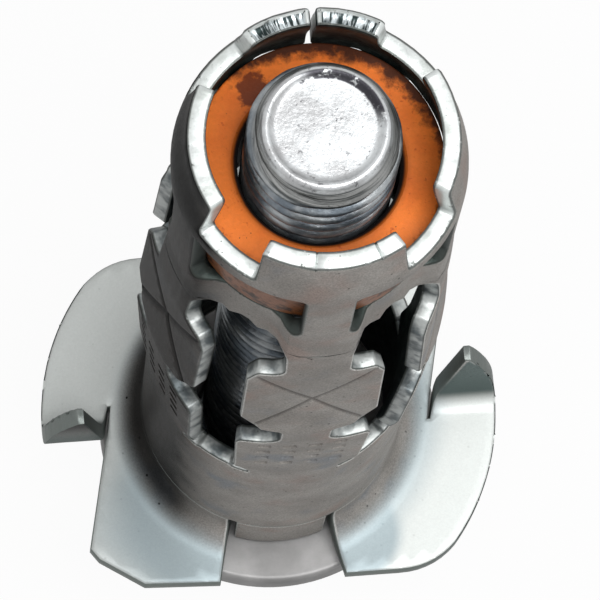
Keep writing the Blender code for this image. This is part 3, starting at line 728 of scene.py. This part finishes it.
def leg_side():
    """The leg's right side from the ring to the tube, as (half width, height, corner radius)."""
    return [
        (WAIST_WIDTH / 2, -RING_DEPTH, 0.9),
        (WAIST_WIDTH / 2, -PLATE_TOP, 1.3),
        (PLATE_TOP_WIDTH / 2, -PLATE_TOP, 0.25),
        (PLATE_HALF, -PLATE_TOP - CORNER_CUT, 0.3),
        (PLATE_HALF, -KNEE_DEPTH + CORNER_DROP, 0.4),
        (PLATE_HALF - CORNER_CUT, -KNEE_DEPTH + 0.4, 0.4),
        (KNEE_WIDTH / 2, -KNEE_DEPTH, 0.3),
        (KNEE_WIDTH / 2, -LOWER_PLATE_TOP, 1.0),
        (PLATE_HALF - 0.2, -LOWER_PLATE_TOP, 0.25),
        (PLATE_HALF, -LOWER_PLATE_TOP - 0.6, 0.2),
        (PLATE_HALF - 0.2, -ROOT_DEPTH + CORNER_CUT, 0.4),
        (ROOT_WIDTH / 2, -ROOT_DEPTH + 0.2, 0.1),
        (ROOT_WIDTH / 2, -ROOT_DEPTH - ROOT_SLIT, 0.1),
        (PLATE_HALF - 0.3, -ROOT_DEPTH - ROOT_SLIT, 0.2),
        (PLATE_HALF - 0.1, -ROOT_DEPTH, 0.2),
    ]


def mirrored(corners):
    """The same (x, y, radius) corners on the other side, in the order that goes on round."""
    return [(-x, y, radius) for x, y, radius in reversed(corners)]


def window_outline(middle):
    """The window between two legs, from one leg's side to the next one's."""
    right = [(LEG_PITCH / 2 - width, height, radius) for width, height, radius in leg_side()]
    return [point + Vector((middle, 0.0)) for point in rounded(right + mirrored(right))]


def slot_outline(middle):
    """The slot over a window, through which the nut's side shows."""
    half = (LEG_PITCH - NECK_WIDTH) / 2
    top = COLLAR_DEPTH if abs(middle) < LEG_PITCH else BACK_COLLAR_DEPTH
    right = [(half, -top, 0.5), (half, -SEAT_DEPTH, 0.9)]
    return [point + Vector((middle, 0.0)) for point in rounded(right + mirrored(right))]


def on_wing_arc(y):
    """The place on the wing's outer arc at a height y of the plan."""
    return Vector((math.sqrt(WING_RADIUS ** 2 - y ** 2), y))


def notch_ends():
    """The ends of the cut that frees the tooth, from the tooth's root to the outer arc."""
    return Vector((TOOTH_INNER_X - NOTCH_GAP, TOOTH_FOLD_Y)), on_wing_arc(NOTCH_END_Y)


def notch_edge_x(y):
    """The x of that cut's edge on the wing."""
    inner, outer = notch_ends()
    share = (y - inner.y) / (outer.y - inner.y)
    return inner.x + share * (outer.x - inner.x)


def front_corner(arc_start):
    """The rounding of a wing's front outer corner, up to where the outer arc starts."""
    corner = on_wing_arc(-WING_HALF_WIDTH)
    before = corner - Vector((FRONT_ROUND, 0.0))
    after = WING_RADIUS * Vector((math.cos(arc_start), math.sin(arc_start)))
    shares = [step / CORNER_STEPS for step in range(CORNER_STEPS)]
    return [before.lerp(corner, share).lerp(corner.lerp(after, share), share) for share in shares]


def wing_plan():
    """The right wing seen from the tail, with its tooth still flat, from the front gap to the back."""
    root = math.radians(WING_ROOT_ANGLE)
    gap_edge = Vector((MID_RADIUS * math.sin(root), -MID_RADIUS * math.cos(root)))
    arc_start = -math.asin(WING_HALF_WIDTH / WING_RADIUS) + FRONT_ROUND / WING_RADIUS
    arc_end = math.asin(TOOTH_TIP_Y / WING_RADIUS)
    notch_inner, notch_outer = notch_ends()
    back_corner = on_wing_arc(WING_HALF_WIDTH) - Vector((CORNER_FLAT, CORNER_EASE))
    places = [gap_edge, Vector((WING_CORNER_X, -WING_HALF_WIDTH)), *front_corner(arc_start)]
    for step in range(WING_ARC_STEPS + 1):
        turn = arc_start + (arc_end - arc_start) * step / WING_ARC_STEPS
        places.append(Vector((WING_RADIUS * math.cos(turn), WING_RADIUS * math.sin(turn))))
    places += [
        Vector((notch_edge_x(TOOTH_TIP_Y) + NOTCH_GAP, TOOTH_TIP_Y)),
        Vector((TOOTH_INNER_X, TOOTH_FOLD_Y)),
        notch_inner,
        notch_outer,
        on_wing_arc(CORNER_ARC_Y),
        back_corner,
        Vector((WING_CORNER_X, WING_HALF_WIDTH)),
        Vector((gap_edge.x, -gap_edge.y)),
    ]
    return places


def plan_to_blank(place, side):
    """The blank's point that ends at a place of the flange, for the right (1) or left (-1) wing."""
    radius = place.length
    azimuth = math.atan2(place.y, place.x)
    if radius < MID_RADIUS + BEND_RADIUS:
        share = min(max((radius - MID_RADIUS) / BEND_RADIUS, 0.0), 1.0)
        past = BEND_RADIUS * math.acos(1 - share)
    else:
        past = BEND_LENGTH + radius - MID_RADIUS - BEND_RADIUS
    turn = azimuth + math.pi / 2
    if side < 0:
        turn -= math.pi
    return Vector((turn * MID_RADIUS, -BEND_DEPTH - past))


def wing_blank(side):
    """The wing's outline on the blank, with points close enough to stay straight once it is bent."""
    places = wing_plan()
    outline = []
    for start, end in zip(places, places[1:]):
        pieces = max(1, round((end - start).length / WING_EDGE_STEP))
        for piece in range(pieces):
            outline.append(plan_to_blank(start.lerp(end, piece / pieces), side))
    outline.append(plan_to_blank(places[-1], side))
    return outline


def seam_side():
    """The blank's right edge from the tube's end up to the collar, with half a window and half a slot."""
    edge = BLANK_WIDTH / 2
    last_leg = LEG_PITCH * (LEG_COUNT // 2)
    leg = [(last_leg + width, height, radius) for width, height, radius in reversed(leg_side())]
    slot_side = last_leg + NECK_WIDTH / 2
    window_foot = leg[1][1]
    return [
        (edge, -SLEEVE_LENGTH, 0.0),
        (edge, window_foot, 0.0),
        *[(min(x, edge - SEAM_LIP), y, radius) for x, y, radius in leg[1:]],
        (edge, -RING_DEPTH, 0.2),
        (edge, -SEAT_DEPTH, 0.2),
        (slot_side, -SEAT_DEPTH, 0.9),
        (slot_side, -BACK_COLLAR_DEPTH, 0.5),
        (edge, -BACK_COLLAR_DEPTH, 0.2),
    ]


def flange_edge():
    """The blank's bottom edge between its two corners: the tongue and both wings."""
    tongue = along_tube(TONGUE_ANGLE)
    tongue_back = along_tube(180.0 - TONGUE_ANGLE)
    slit_top = -BEND_DEPTH + SLIT_RISE
    edge = []
    for side, start, end in ((-1, -tongue_back, -tongue), (1, tongue, tongue_back)):
        wing = wing_blank(side)
        edge += [
            Vector((start, -SLEEVE_LENGTH)),
            Vector((start, slit_top)),
            Vector((wing[0].x, slit_top)),
            *wing,
            Vector((wing[-1].x, slit_top)),
            Vector((end, slit_top)),
            Vector((end, -SLEEVE_LENGTH)),
        ]
    return edge


def blank_outline():
    """The whole blank, counted once round from its lower right corner."""
    right = seam_side() + crown_corners()
    upper = rounded(right + mirrored(right))
    return upper + flange_edge()


# Forming

def bent(distance, radius, angle):
    """Where a strip gets to: forward, up and its slope, after a distance along it past a bend."""
    swept = radius * angle
    if distance <= 0:
        return distance, 0.0, 0.0
    if distance < swept:
        slope = distance / radius
        return radius * math.sin(slope), radius * (1 - math.cos(slope)), slope
    past = distance - swept
    forward = radius * math.sin(angle) + past * math.cos(angle)
    up = radius * (1 - math.cos(angle)) + past * math.sin(angle)
    return forward, up, angle


def ring_press(beside, depth):
    """How far the ring between the legs is pressed in."""
    sideways = eased(abs(beside), PRESS_START, PRESS_FULL)
    upper = eased(depth, COLLAR_DEPTH, SEAT_DEPTH)
    lower = 1.0 - eased(depth, RING_DEPTH, RING_DEPTH + PRESS_FADE)
    return RING_PRESS * sideways * upper * lower


def plate_place(beside, depth):
    """A place on a leg's upper plate, from -1 to 1 across it and down it."""
    return beside / PLATE_HALF, (depth - PLATE_MIDDLE) / PLATE_REACH


def leg_lift(beside, depth):
    """How far a leg leans out of the tube, and how flat it is."""
    if depth < KNEE_DEPTH:
        lean = max(0.0, depth - CREASE_DEPTH) / (KNEE_DEPTH - CREASE_DEPTH)
    else:
        lean = max(0.0, ROOT_DEPTH - depth) / (ROOT_DEPTH - KNEE_DEPTH)
    flat = eased(depth, CREASE_DEPTH, PLATE_TOP) * (1 - eased(depth, ROOT_DEPTH - ROOT_EASE, ROOT_DEPTH))
    across, down = plate_place(beside, depth)
    dish = PLATE_DISH * max(0.0, 1 - max(abs(across), abs(down)))
    return KNEE_BULGE * lean - dish, LEG_FLATNESS * flat


def cross_groove(beside, depth):
    """The shallow grooves that cross on each upper plate."""
    across, down = plate_place(beside, depth)
    if max(abs(across), abs(down)) > CROSS_REACH:
        return 0.0
    off_line = abs(abs(across) - abs(down)) * CROSS_SCALE
    return CROSS_DEPTH * max(0.0, 1 - off_line / CROSS_HALF_WIDTH)


def dent_press(beside, depth):
    """The small dents on each lower plate."""
    for column in DENT_COLUMNS:
        for row in DENT_ROWS:
            inside_x = DENT_WIDTH / 2 - abs(beside - column)
            inside_y = DENT_HEIGHT / 2 - abs(depth - row)
            inside = min(inside_x, inside_y)
            if inside > 0:
                return DENT_DEPTH * min(1.0, inside / DENT_WALL)
    return 0.0


def crown_wear(across, depth, outward):
    """How far the crown's ends are torn down at their outer rim, and scored on the front tab."""
    drop = 0.0
    if depth < TAB_RISE + 0.2 and outward > 0.2:
        coarse = noise.noise(Vector((across * 1.3, 3.0, 0.0)))
        fine = noise.noise(Vector((across * 3.1, 7.0, 0.0)))
        rag = coarse + 0.5 * fine
        on_end = eased(depth, 0.3, 0.0) + eased(abs(depth - TAB_RISE), 0.25, 0.0)
        drop += RAGGED_DROP * max(0.0, rag) * on_end * eased(outward, 0.2, SHEET / 2)
    if depth < 0.3:
        for place in SCORE_PLACES:
            drop += SCORE_DEPTH * max(0.0, 1 - abs(across - place) / SCORE_HALF_WIDTH)
    return drop


def form_tube(across, depth, outward):
    """The tube, its crimped crown, pressed ring, and leaning legs with their grooves and dents."""
    crimp = TAB_CRIMP * (1 - eased(depth, 0.0, CRIMP_LENGTH))
    leg = round(across / LEG_PITCH)
    beside = across - leg * LEG_PITCH
    depth += crown_wear(across, depth, outward)
    direction = FRONT_AZIMUTH + leg * LEG_PITCH / MID_RADIUS
    turn = beside / MID_RADIUS
    flat = 0.0
    radius = MID_RADIUS + outward - crimp - ring_press(beside, depth)
    if CREASE_DEPTH < depth < ROOT_DEPTH and abs(beside) < PLATE_HALF + 0.1:
        lift, flat = leg_lift(beside, depth)
        radius += lift
        if outward > SHEET * 0.49:
            radius -= cross_groove(beside, depth) + dent_press(beside, depth)
    along = (1 - flat) * radius * math.cos(turn) + flat * radius
    sideways = (1 - flat) * radius * math.sin(turn) + flat * beside
    x = along * math.cos(direction) - sideways * math.sin(direction)
    y = along * math.sin(direction) + sideways * math.cos(direction)
    return Vector((x, y, -depth))


def form_wing(across, depth, outward):
    """A wing bent out of the tube, and the tooth bent up from it."""
    side = 1 if across > 0 else -1
    turn = across / MID_RADIUS + FRONT_AZIMUTH + (0.0 if side > 0 else math.pi)
    forward, out, slope = bent(depth - BEND_DEPTH, BEND_RADIUS, math.pi / 2)
    radius = MID_RADIUS + out + outward * math.cos(slope)
    level = -BEND_DEPTH - forward + outward * math.sin(slope)
    x = radius * math.cos(turn)
    y = radius * math.sin(turn)
    past_fold = y - TOOTH_FOLD_Y
    if past_fold > 0 and x > notch_edge_x(y) + NOTCH_GAP / 2:
        advance, rise, tilt = bent(past_fold, TOOTH_BEND_RADIUS, math.radians(TOOTH_ANGLE))
        y = TOOTH_FOLD_Y + advance - outward * math.sin(tilt)
        level += rise + outward * (math.cos(tilt) - 1)
    return Vector((side * x, side * y, level))


def form(place):
    """Rolls a place of the punched blank into the sleeve."""
    across, height, outward = place
    depth = -height
    angle = abs(math.degrees(across / MID_RADIUS))
    tongue_edge = TONGUE_ANGLE + SLIT_EDGE_ANGLE
    beside_tongue = tongue_edge < angle < 180.0 - tongue_edge
    past_tongue = depth > SLEEVE_LENGTH + SLIT_EDGE
    if depth > BEND_DEPTH and (beside_tongue or past_tongue):
        formed = form_wing(across, depth, outward)
    else:
        formed = form_tube(across, depth, outward)
    formed.z += SLEEVE_TOP
    return formed


# Sleeve

def punched_sheet():
    """The flat blank as a solid sheet, from its outline with the windows and slots as holes."""
    curve = bpy.data.curves.new("blank", "CURVE")
    curve.dimensions = "2D"
    curve.fill_mode = "BOTH"
    curve.extrude = SHEET / 2
    middles = [LEG_PITCH * (index + 0.5 - LEG_COUNT // 2) for index in range(LEG_COUNT - 1)]
    holes = [window_outline(middle) for middle in middles] + [slot_outline(middle) for middle in middles]
    for outline in [blank_outline(), *holes]:
        spline = curve.splines.new("POLY")
        spline.points.add(len(outline) - 1)
        for point, place in zip(spline.points, outline):
            point.co = (place.x, place.y, 0.0, 1.0)
        spline.use_cyclic_u = True
    guide = bpy.data.objects.new("blank", curve)
    bpy.context.scene.collection.objects.link(guide)
    graph = bpy.context.evaluated_depsgraph_get()
    mesh = bpy.data.meshes.new_from_object(guide.evaluated_get(graph))
    shape = bmesh.new()
    shape.from_mesh(mesh)
    bpy.data.objects.remove(guide, do_unlink=True)
    bpy.data.curves.remove(curve)
    bpy.data.meshes.remove(mesh)
    bmesh.ops.remove_doubles(shape, verts=shape.verts, dist=MERGE)
    bmesh.ops.recalc_face_normals(shape, faces=shape.faces)
    return shape


def is_rolled(face):
    """True for a face of the blank's two flat sides."""
    return abs(face.normal.z) > 0.999


def round_rims(shape):
    """Rolls the outer rim over as the punch does, and only breaks the inner one."""
    for side, offset in ((1, OUTER_RIM), (-1, INNER_RIM)):
        rim = [edge for edge in shape.edges
               if any(is_rolled(face) and face.normal.z * side > 0 for face in edge.link_faces)
               and not all(is_rolled(face) for face in edge.link_faces)]
        bmesh.ops.bevel(shape, geom=rim, offset=offset, offset_type="OFFSET", affect="EDGES",
                        segments=RIM_STEPS, profile=0.5, clamp_overlap=False, loop_slide=False, material=-1)


def recess_back_ends(shape):
    """Sinks the middle of the end faces on the two halves of the back tab."""
    shape.normal_update()
    back = along_tube(TAB_BACK_ANGLE)
    for side in (-1, 1):
        ends = []
        for face in shape.faces:
            x, y, z = face.calc_center_median()
            if face.normal.y > 0.95 and x * side > back and y > -0.1 and abs(z) < 0.2:
                ends.append(face)
        bmesh.ops.inset_region(shape, faces=ends, thickness=BACK_RECESS_RIM, depth=-BACK_RECESS,
                               use_even_offset=True)


def grid_lines(start, end, step, extra):
    """Evenly spaced places, and the extra ones that a form needs, none of them close together."""
    count = round((end - start) / step)
    even = sorted([start + (end - start) * index / count for index in range(1, count)], key=abs)
    lines = []
    for places, gap in ((extra, LINE_GAP), (even, step * LINE_GAP_SHARE)):
        for place in places:
            if all(abs(place - line) > gap for line in lines):
                lines.append(place)
    return lines


def column_lines():
    """The x of the cuts along the sheet."""
    extra = []
    for leg in range(LEG_COUNT):
        middle = LEG_PITCH * (leg - LEG_COUNT // 2)
        extra.append(middle)
        for column in DENT_COLUMNS:
            for offset in (DENT_WIDTH / 2, DENT_WIDTH / 2 - DENT_WALL):
                extra += [middle + column - offset, middle + column + offset]
    for place in SCORE_PLACES:
        extra += [place - SCORE_HALF_WIDTH, place, place + SCORE_HALF_WIDTH]
    fold_length = TOOTH_BEND_RADIUS * math.radians(TOOTH_ANGLE)
    for column in range(TOOTH_COLUMNS + 1):
        across_fold = TOOTH_FOLD_Y + fold_length * column / TOOTH_COLUMNS
        turn = math.degrees(math.asin(across_fold / (WING_RADIUS - TOOTH_WIDTH / 2)))
        extra += [along_tube(90.0 + turn), along_tube(-90.0 + turn)]
    return grid_lines(-BLANK_WIDTH / 2, BLANK_WIDTH / 2, COLUMN_STEP, extra)


def row_lines():
    """The depths of the cuts across the sheet."""
    extra = [CREASE_DEPTH, KNEE_DEPTH, ROOT_DEPTH, PLATE_MIDDLE]
    for row in DENT_ROWS:
        for offset in (DENT_HEIGHT / 2, DENT_HEIGHT / 2 - DENT_WALL):
            extra += [row - offset, row + offset]
    bend_end = BEND_DEPTH + BEND_LENGTH
    wing_end = bend_end + WING_RADIUS - MID_RADIUS - BEND_RADIUS
    upper = grid_lines(0.0, BEND_DEPTH, ROW_STEP, extra)
    lower = grid_lines(BEND_DEPTH, bend_end, BEND_ROW_STEP, [BEND_DEPTH, bend_end])
    return upper + lower + grid_lines(bend_end, wing_end, COLUMN_STEP, [])


def cut(shape, geometry, place, direction):
    """Cuts a line into the geometry and returns what lies on both sides of it."""
    made = bmesh.ops.bisect_plane(shape, geom=geometry, dist=MERGE, plane_co=place, plane_no=direction)
    return made["geom"]


def grid_the_sheet(shape):
    """Cuts the sheet into small cells and clears the long edges that filled the outline."""
    for edge in shape.edges:
        edge.seam = all(is_rolled(face) for face in edge.link_faces)
    columns = [((x, 0, 0), (1, 0, 0)) for x in column_lines()]
    rows = [((0, -depth, 0), (0, 1, 0)) for depth in row_lines()]
    for place, direction in columns + rows:
        cut(shape, [*shape.verts, *shape.edges, *shape.faces], place, direction)
    fill = [edge for edge in shape.edges if edge.seam]
    bmesh.ops.dissolve_edges(shape, edges=fill, use_verts=True, use_face_split=False)
    for edge in shape.edges:
        edge.seam = False
    shape.normal_update()


def cut_crosses(shape):
    """Cuts the lines of the crossing grooves into each upper plate."""
    for leg in range(LEG_COUNT):
        middle = Vector((LEG_PITCH * (leg - LEG_COUNT // 2), -PLATE_MIDDLE, 0.0))
        faces = [face for face in shape.faces if is_rolled(face)
                 and abs(face.calc_center_median().x - middle.x) < PLATE_HALF
                 and abs(face.calc_center_median().y - middle.y) < PLATE_REACH]
        geometry = list({*faces, *(edge for face in faces for edge in face.edges),
                         *(vert for face in faces for vert in face.verts)})
        for slant in (-1, 1):
            across = Vector((PLATE_REACH, slant * PLATE_HALF, 0.0)).normalized()
            for offset in (-CROSS_HALF_WIDTH, 0.0, CROSS_HALF_WIDTH):
                geometry = cut(shape, geometry, middle + across * offset, across)


def clear_slivers(shape):
    """Closes the very short edges that the cuts left on the wings."""
    on_wings = [edge for edge in shape.edges if max(vertex.co.y for vertex in edge.verts) < -BEND_DEPTH]
    bmesh.ops.dissolve_degenerate(shape, dist=SHORTEST_EDGE, edges=on_wings)
    loose = [edge for edge in shape.edges if not edge.link_faces]
    bmesh.ops.delete(shape, geom=loose, context="EDGES")
    shape.normal_update()


def share_out_finishes(shape):
    """Gives each face of the blank its finish: sheared edge, inside of the tube, or rolled wall."""
    for face in shape.faces:
        if abs(face.normal.z) < 0.8:
            face.material_index = EDGE_FINISH
        elif face.normal.z < 0 and face.calc_center_median().y > -BEND_DEPTH:
            face.material_index = INSIDE_FINISH
        else:
            face.material_index = WALL_FINISH


def roll_the_sheet(shape):
    """Rolls and folds the blank, and keeps on each point where it lay on the blank."""
    blank_place = shape.verts.layers.float_vector.new(BLANK_PLACE)
    for vertex in shape.verts:
        across, height, outward = vertex.co
        vertex[blank_place] = (across, -height, outward)
        vertex.co = form(vertex.co)


def make_sleeve():
    """The sleeve, made as its maker does: punched, rounded, marked out, then rolled and folded."""
    shape = punched_sheet()
    round_rims(shape)
    recess_back_ends(shape)
    grid_the_sheet(shape)
    cut_crosses(shape)
    clear_slivers(shape)
    share_out_finishes(shape)
    roll_the_sheet(shape)
    finishes = [zinc_wall(), zinc_edge(), zinc_inside()]
    finish_piece("rolled_sleeve", shape, finishes, "sleeve", "anchor", sharp_angle=50.0)


# Nut, washer and bolt

def make_nut():
    """The round nut, with rolled edges and a countersunk hole."""
    edge_radius = NUT_RADIUS - NUT_EDGE
    mouth = NUT_BORE + NUT_COUNTERSINK
    profile = arc((edge_radius, NUT_TOP - NUT_EDGE), NUT_EDGE, 90, 0, ROUND_EDGE_STEPS)
    profile += arc((edge_radius, NUT_BOTTOM + NUT_EDGE), NUT_EDGE, 0, -90, ROUND_EDGE_STEPS)
    profile += [
        (mouth, NUT_BOTTOM),
        (NUT_BORE, NUT_BOTTOM + NUT_COUNTERSINK),
        (NUT_BORE, NUT_TOP - NUT_COUNTERSINK),
        (NUT_BORE + NUT_COUNTERSINK * 0.7, NUT_TOP - SHARP_EDGE),
        (mouth, NUT_TOP),
    ]
    shape = turned(profile, RING_STEPS)
    finish_piece("round_nut", shape, [orange_coat()], "nut", "anchor", sharp_angle=35.0)


def make_washer():
    """The stamped washer: rolled over on one side, sharper on the other."""
    roll_height = WASHER_TOP - WASHER_ROLL
    profile = arc((WASHER_RADIUS - WASHER_ROLL, roll_height), WASHER_ROLL, 90, 0, ROUND_EDGE_STEPS)
    profile += [
        (WASHER_RADIUS, WASHER_BOTTOM + SHARP_EDGE),
        (WASHER_RADIUS - SHARP_EDGE, WASHER_BOTTOM),
        (WASHER_HOLE + SHARP_EDGE, WASHER_BOTTOM),
        (WASHER_HOLE, WASHER_BOTTOM + SHARP_EDGE),
    ]
    profile += arc((WASHER_HOLE + WASHER_ROLL, roll_height), WASHER_ROLL, 180, 90, ROUND_EDGE_STEPS)
    shape = turned(profile, RING_STEPS)
    finishes = [zinc_washer()]
    finish_piece("flat_washer", shape, finishes, "washer", "loose_washer", sharp_angle=35.0)


def thread_radius(angle, height):
    """The thread's surface at a turn round the axis and a height."""
    share = (height / THREAD_PITCH - angle / (2 * math.pi)) % 1.0
    off_crest = abs(share - 0.5) * 2
    flank = min(max((off_crest - CREST_SHARE) / (1 - CREST_SHARE - ROOT_SHARE), 0.0), 1.0)
    return THREAD_RADIUS - THREAD_DEPTH * flank


def tip_profile():
    """The tip's half section as (radius, height): its dish and the round edge of its face."""
    edge_radius = TIP_FACE_RADIUS - TIP_ROUND
    profile = [(0.0, BOLT_TIP - TIP_DISH)]
    for step in range(1, TIP_DISH_STEPS):
        radius = edge_radius * step / TIP_DISH_STEPS
        fall = TIP_DISH * (1 - eased(radius, TIP_FACE_RADIUS * TIP_DISH_START, edge_radius))
        profile.append((radius, BOLT_TIP - fall))
    return profile + arc((edge_radius, BOLT_TIP - TIP_ROUND), TIP_ROUND, 90, 20, 4)


def shank_profile(height):
    """The half section down from the tip's edge at a height: the cone, the shank and its fillet."""
    profile = []
    while height > HEAD_TOP + SHANK_ROW:
        share = (BOLT_TIP - TIP_ROUND - height) / TIP_CONE
        cone = TIP_FACE_RADIUS + share * (THREAD_RADIUS - TIP_FACE_RADIUS)
        profile.append((min(cone, THREAD_RADIUS), height))
        height -= SHANK_ROW
    return profile + arc((THREAD_RADIUS + HEAD_FILLET, HEAD_TOP + HEAD_FILLET), HEAD_FILLET, 180, 270, 3)


def head_profile():
    """The head's half section, out to a hexagon's corners: its upper face, its side and its end."""
    half_flat = HEAD_ACROSS_FLATS / 2
    corner = HEAD_ACROSS_FLATS / math.sqrt(3)
    slope = math.tan(math.radians(HEAD_CHAMFER_ANGLE))
    face = HEAD_FACE_RADIUS
    profile = [(half_flat - 0.15, HEAD_TOP), (half_flat, HEAD_TOP - HEAD_EDGE)]
    for step in range(1, HEAD_RIM_STEPS + 1):
        profile.append((half_flat + (corner - half_flat) * step / HEAD_RIM_STEPS, HEAD_TOP - HEAD_EDGE))
    for step in range(HEAD_RIM_STEPS + 1):
        radius = corner + (half_flat - corner) * step / HEAD_RIM_STEPS
        profile.append((radius, (radius - face) * slope))
    rim, slope_middle, floor_edge = (face - inset for inset in HEAD_DISH_INSETS)
    profile += [(face + 0.1, 0.06), (face - HEAD_EDGE, 0.0), (rim, 0.0)]
    profile += [(slope_middle, HEAD_DISH * 0.6), (floor_edge, HEAD_DISH), (0.0, HEAD_DISH)]
    return profile


def bolt_profile():
    """The whole bolt's half section, from the middle of its tip to the middle of its head."""
    tip = tip_profile()
    return tip + shank_profile(tip[-1][1] - SHANK_ROW) + head_profile()


def shape_bolt(vertex):
    """Cuts the thread into the shank, and the turned head down to a hexagon."""
    angle = math.atan2(vertex.co.y, vertex.co.x)
    radius = math.hypot(vertex.co.x, vertex.co.y)
    height = vertex.co.z
    thread_end = BOLT_TIP - TIP_ROUND
    if HEAD_TOP + THREAD_RUNOUT < height < thread_end and radius > TIP_FACE_RADIUS - 0.1:
        depth_share = eased(height, thread_end - 0.1, BOLT_TIP - TIP_CONE)
        cut_radius = THREAD_RADIUS + (thread_radius(angle, height) - THREAD_RADIUS) * depth_share
        radius = min(radius, cut_radius)
    elif height < HEAD_TOP + HEIGHT_SLACK:
        sixth = math.pi / 3
        off_flat = (angle - math.radians(HEAD_TURN)) % sixth - sixth / 2
        radius = min(radius, HEAD_ACROSS_FLATS / 2 / math.cos(off_flat))
    vertex.co.x = radius * math.cos(angle)
    vertex.co.y = radius * math.sin(angle)


def make_bolt():
    """The bolt, turned from its section, then threaded and cut to a hexagon."""
    shape = turned(bolt_profile(), BOLT_STEPS, start_angle=HEAD_TURN)
    for vertex in shape.verts:
        shape_bolt(vertex)
    bmesh.ops.remove_doubles(shape, verts=shape.verts, dist=MERGE)
    sharp = math.radians(HEAD_SHARP_ANGLE)
    for edge in shape.edges:
        in_head = all(vert.co.z < HEAD_TOP + HEIGHT_SLACK for vert in edge.verts)
        edge.smooth = not (in_head and edge.is_manifold and edge.calc_face_angle() > sharp)
    finish_piece("hexagon_bolt", shape, [zinc_bolt()], "bolt", "screw")


# Studio

def seen_by_camera_or_mirror(tree):
    """1 for rays from the camera, and for reflections and refractions, as a socket of a node tree."""
    path = tree.nodes.new("ShaderNodeLightPath")
    sockets = [path.outputs[name] for name in ("Is Camera Ray", "Is Glossy Ray", "Is Transmission Ray")]
    total = sockets[0]
    for socket in sockets[1:]:
        either = tree.nodes.new("ShaderNodeMath")
        either.operation = "MAXIMUM"
        tree.links.new(total, either.inputs[0])
        tree.links.new(socket, either.inputs[1])
        total = either.outputs[0]
    return total


def make_world():
    """An even pale light all round, which the camera and the metal's mirror images see as white."""
    world = bpy.data.worlds.new("studio_world")
    bpy.context.scene.world = world
    world.use_nodes = True
    tree = world.node_tree
    tree.nodes.clear()
    light = tree.nodes.new("ShaderNodeBackground")
    light.inputs["Strength"].default_value = WORLD_STRENGTH
    light.inputs["Color"].default_value = (1.0, 1.0, 1.0, 1.0)
    shown = tree.nodes.new("ShaderNodeBackground")
    shown.inputs["Color"].default_value = (1.0, 1.0, 1.0, 1.0)
    choice = tree.nodes.new("ShaderNodeMixShader")
    output = tree.nodes.new("ShaderNodeOutputWorld")
    tree.links.new(seen_by_camera_or_mirror(tree), choice.inputs[0])
    tree.links.new(light.outputs[0], choice.inputs[1])
    tree.links.new(shown.outputs[0], choice.inputs[2])
    tree.links.new(choice.outputs[0], output.inputs["Surface"])


def make_floor():
    """A pale floor that the camera sees as almost white, with the object's shadow."""
    shape = bmesh.new()
    bmesh.ops.create_grid(shape, x_segments=1, y_segments=1, size=FLOOR_SIZE / 2 * MM)
    mesh = bpy.data.meshes.new("floor")
    shape.to_mesh(mesh)
    shape.free()
    material = bpy.data.materials.new("pale_floor")
    material.use_nodes = True
    tree = material.node_tree
    shader = tree.nodes["Principled BSDF"]
    shader.inputs["Base Color"].default_value = (*FLOOR_COLOUR, 1.0)
    shader.inputs["Roughness"].default_value = FLOOR_ROUGHNESS
    glow = tree.nodes.new("ShaderNodeEmission")
    choice = tree.nodes.new("ShaderNodeMixShader")
    share = tree.nodes.new("ShaderNodeMath")
    share.operation = "MULTIPLY"
    share.inputs[1].default_value = BACKGROUND_SHARE
    tree.links.new(seen_by_camera_or_mirror(tree), share.inputs[0])
    tree.links.new(share.outputs[0], choice.inputs[0])
    tree.links.new(shader.outputs[0], choice.inputs[1])
    tree.links.new(glow.outputs[0], choice.inputs[2])
    tree.links.new(choice.outputs[0], tree.nodes["Material Output"].inputs["Surface"])
    mesh.materials.append(material)
    floor = bpy.data.objects.new("floor", mesh)
    bpy.context.scene.collection.objects.link(floor)


def make_softbox():
    """The one soft lamp, high over the object's front right."""
    lamp = bpy.data.lights.new("softbox", "AREA")
    lamp.shape = "SQUARE"
    lamp.size = SOFTBOX_SIZE * MM
    lamp.energy = SOFTBOX_POWER
    softbox = bpy.data.objects.new("softbox", lamp)
    softbox.location = SOFTBOX_PLACE * MM
    softbox.rotation_euler = (LAMP_AIM - SOFTBOX_PLACE).to_track_quat("-Z", "Y").to_euler()
    bpy.context.scene.collection.objects.link(softbox)


def make_camera():
    """The camera, rolled to where the photograph was taken from."""
    data = bpy.data.cameras.new("camera")
    data.lens = CAMERA_LENS
    data.sensor_width = SENSOR_WIDTH
    data.clip_start = CAMERA_CLIP * MM
    camera = bpy.data.objects.new("camera", data)
    level = (CAMERA_AIM - CAMERA_EYE).to_track_quat("-Z", "Y")
    roll = Quaternion((0.0, 0.0, 1.0), math.radians(CAMERA_ROLL))
    camera.location = CAMERA_EYE * MM
    camera.rotation_euler = (level @ roll).to_euler()
    bpy.context.scene.collection.objects.link(camera)
    bpy.context.scene.camera = camera


make_sleeve()
make_nut()
make_washer()
make_bolt()
make_world()
make_floor()
make_softbox()
make_camera()
bpy.context.scene.view_settings.view_transform = "Standard"
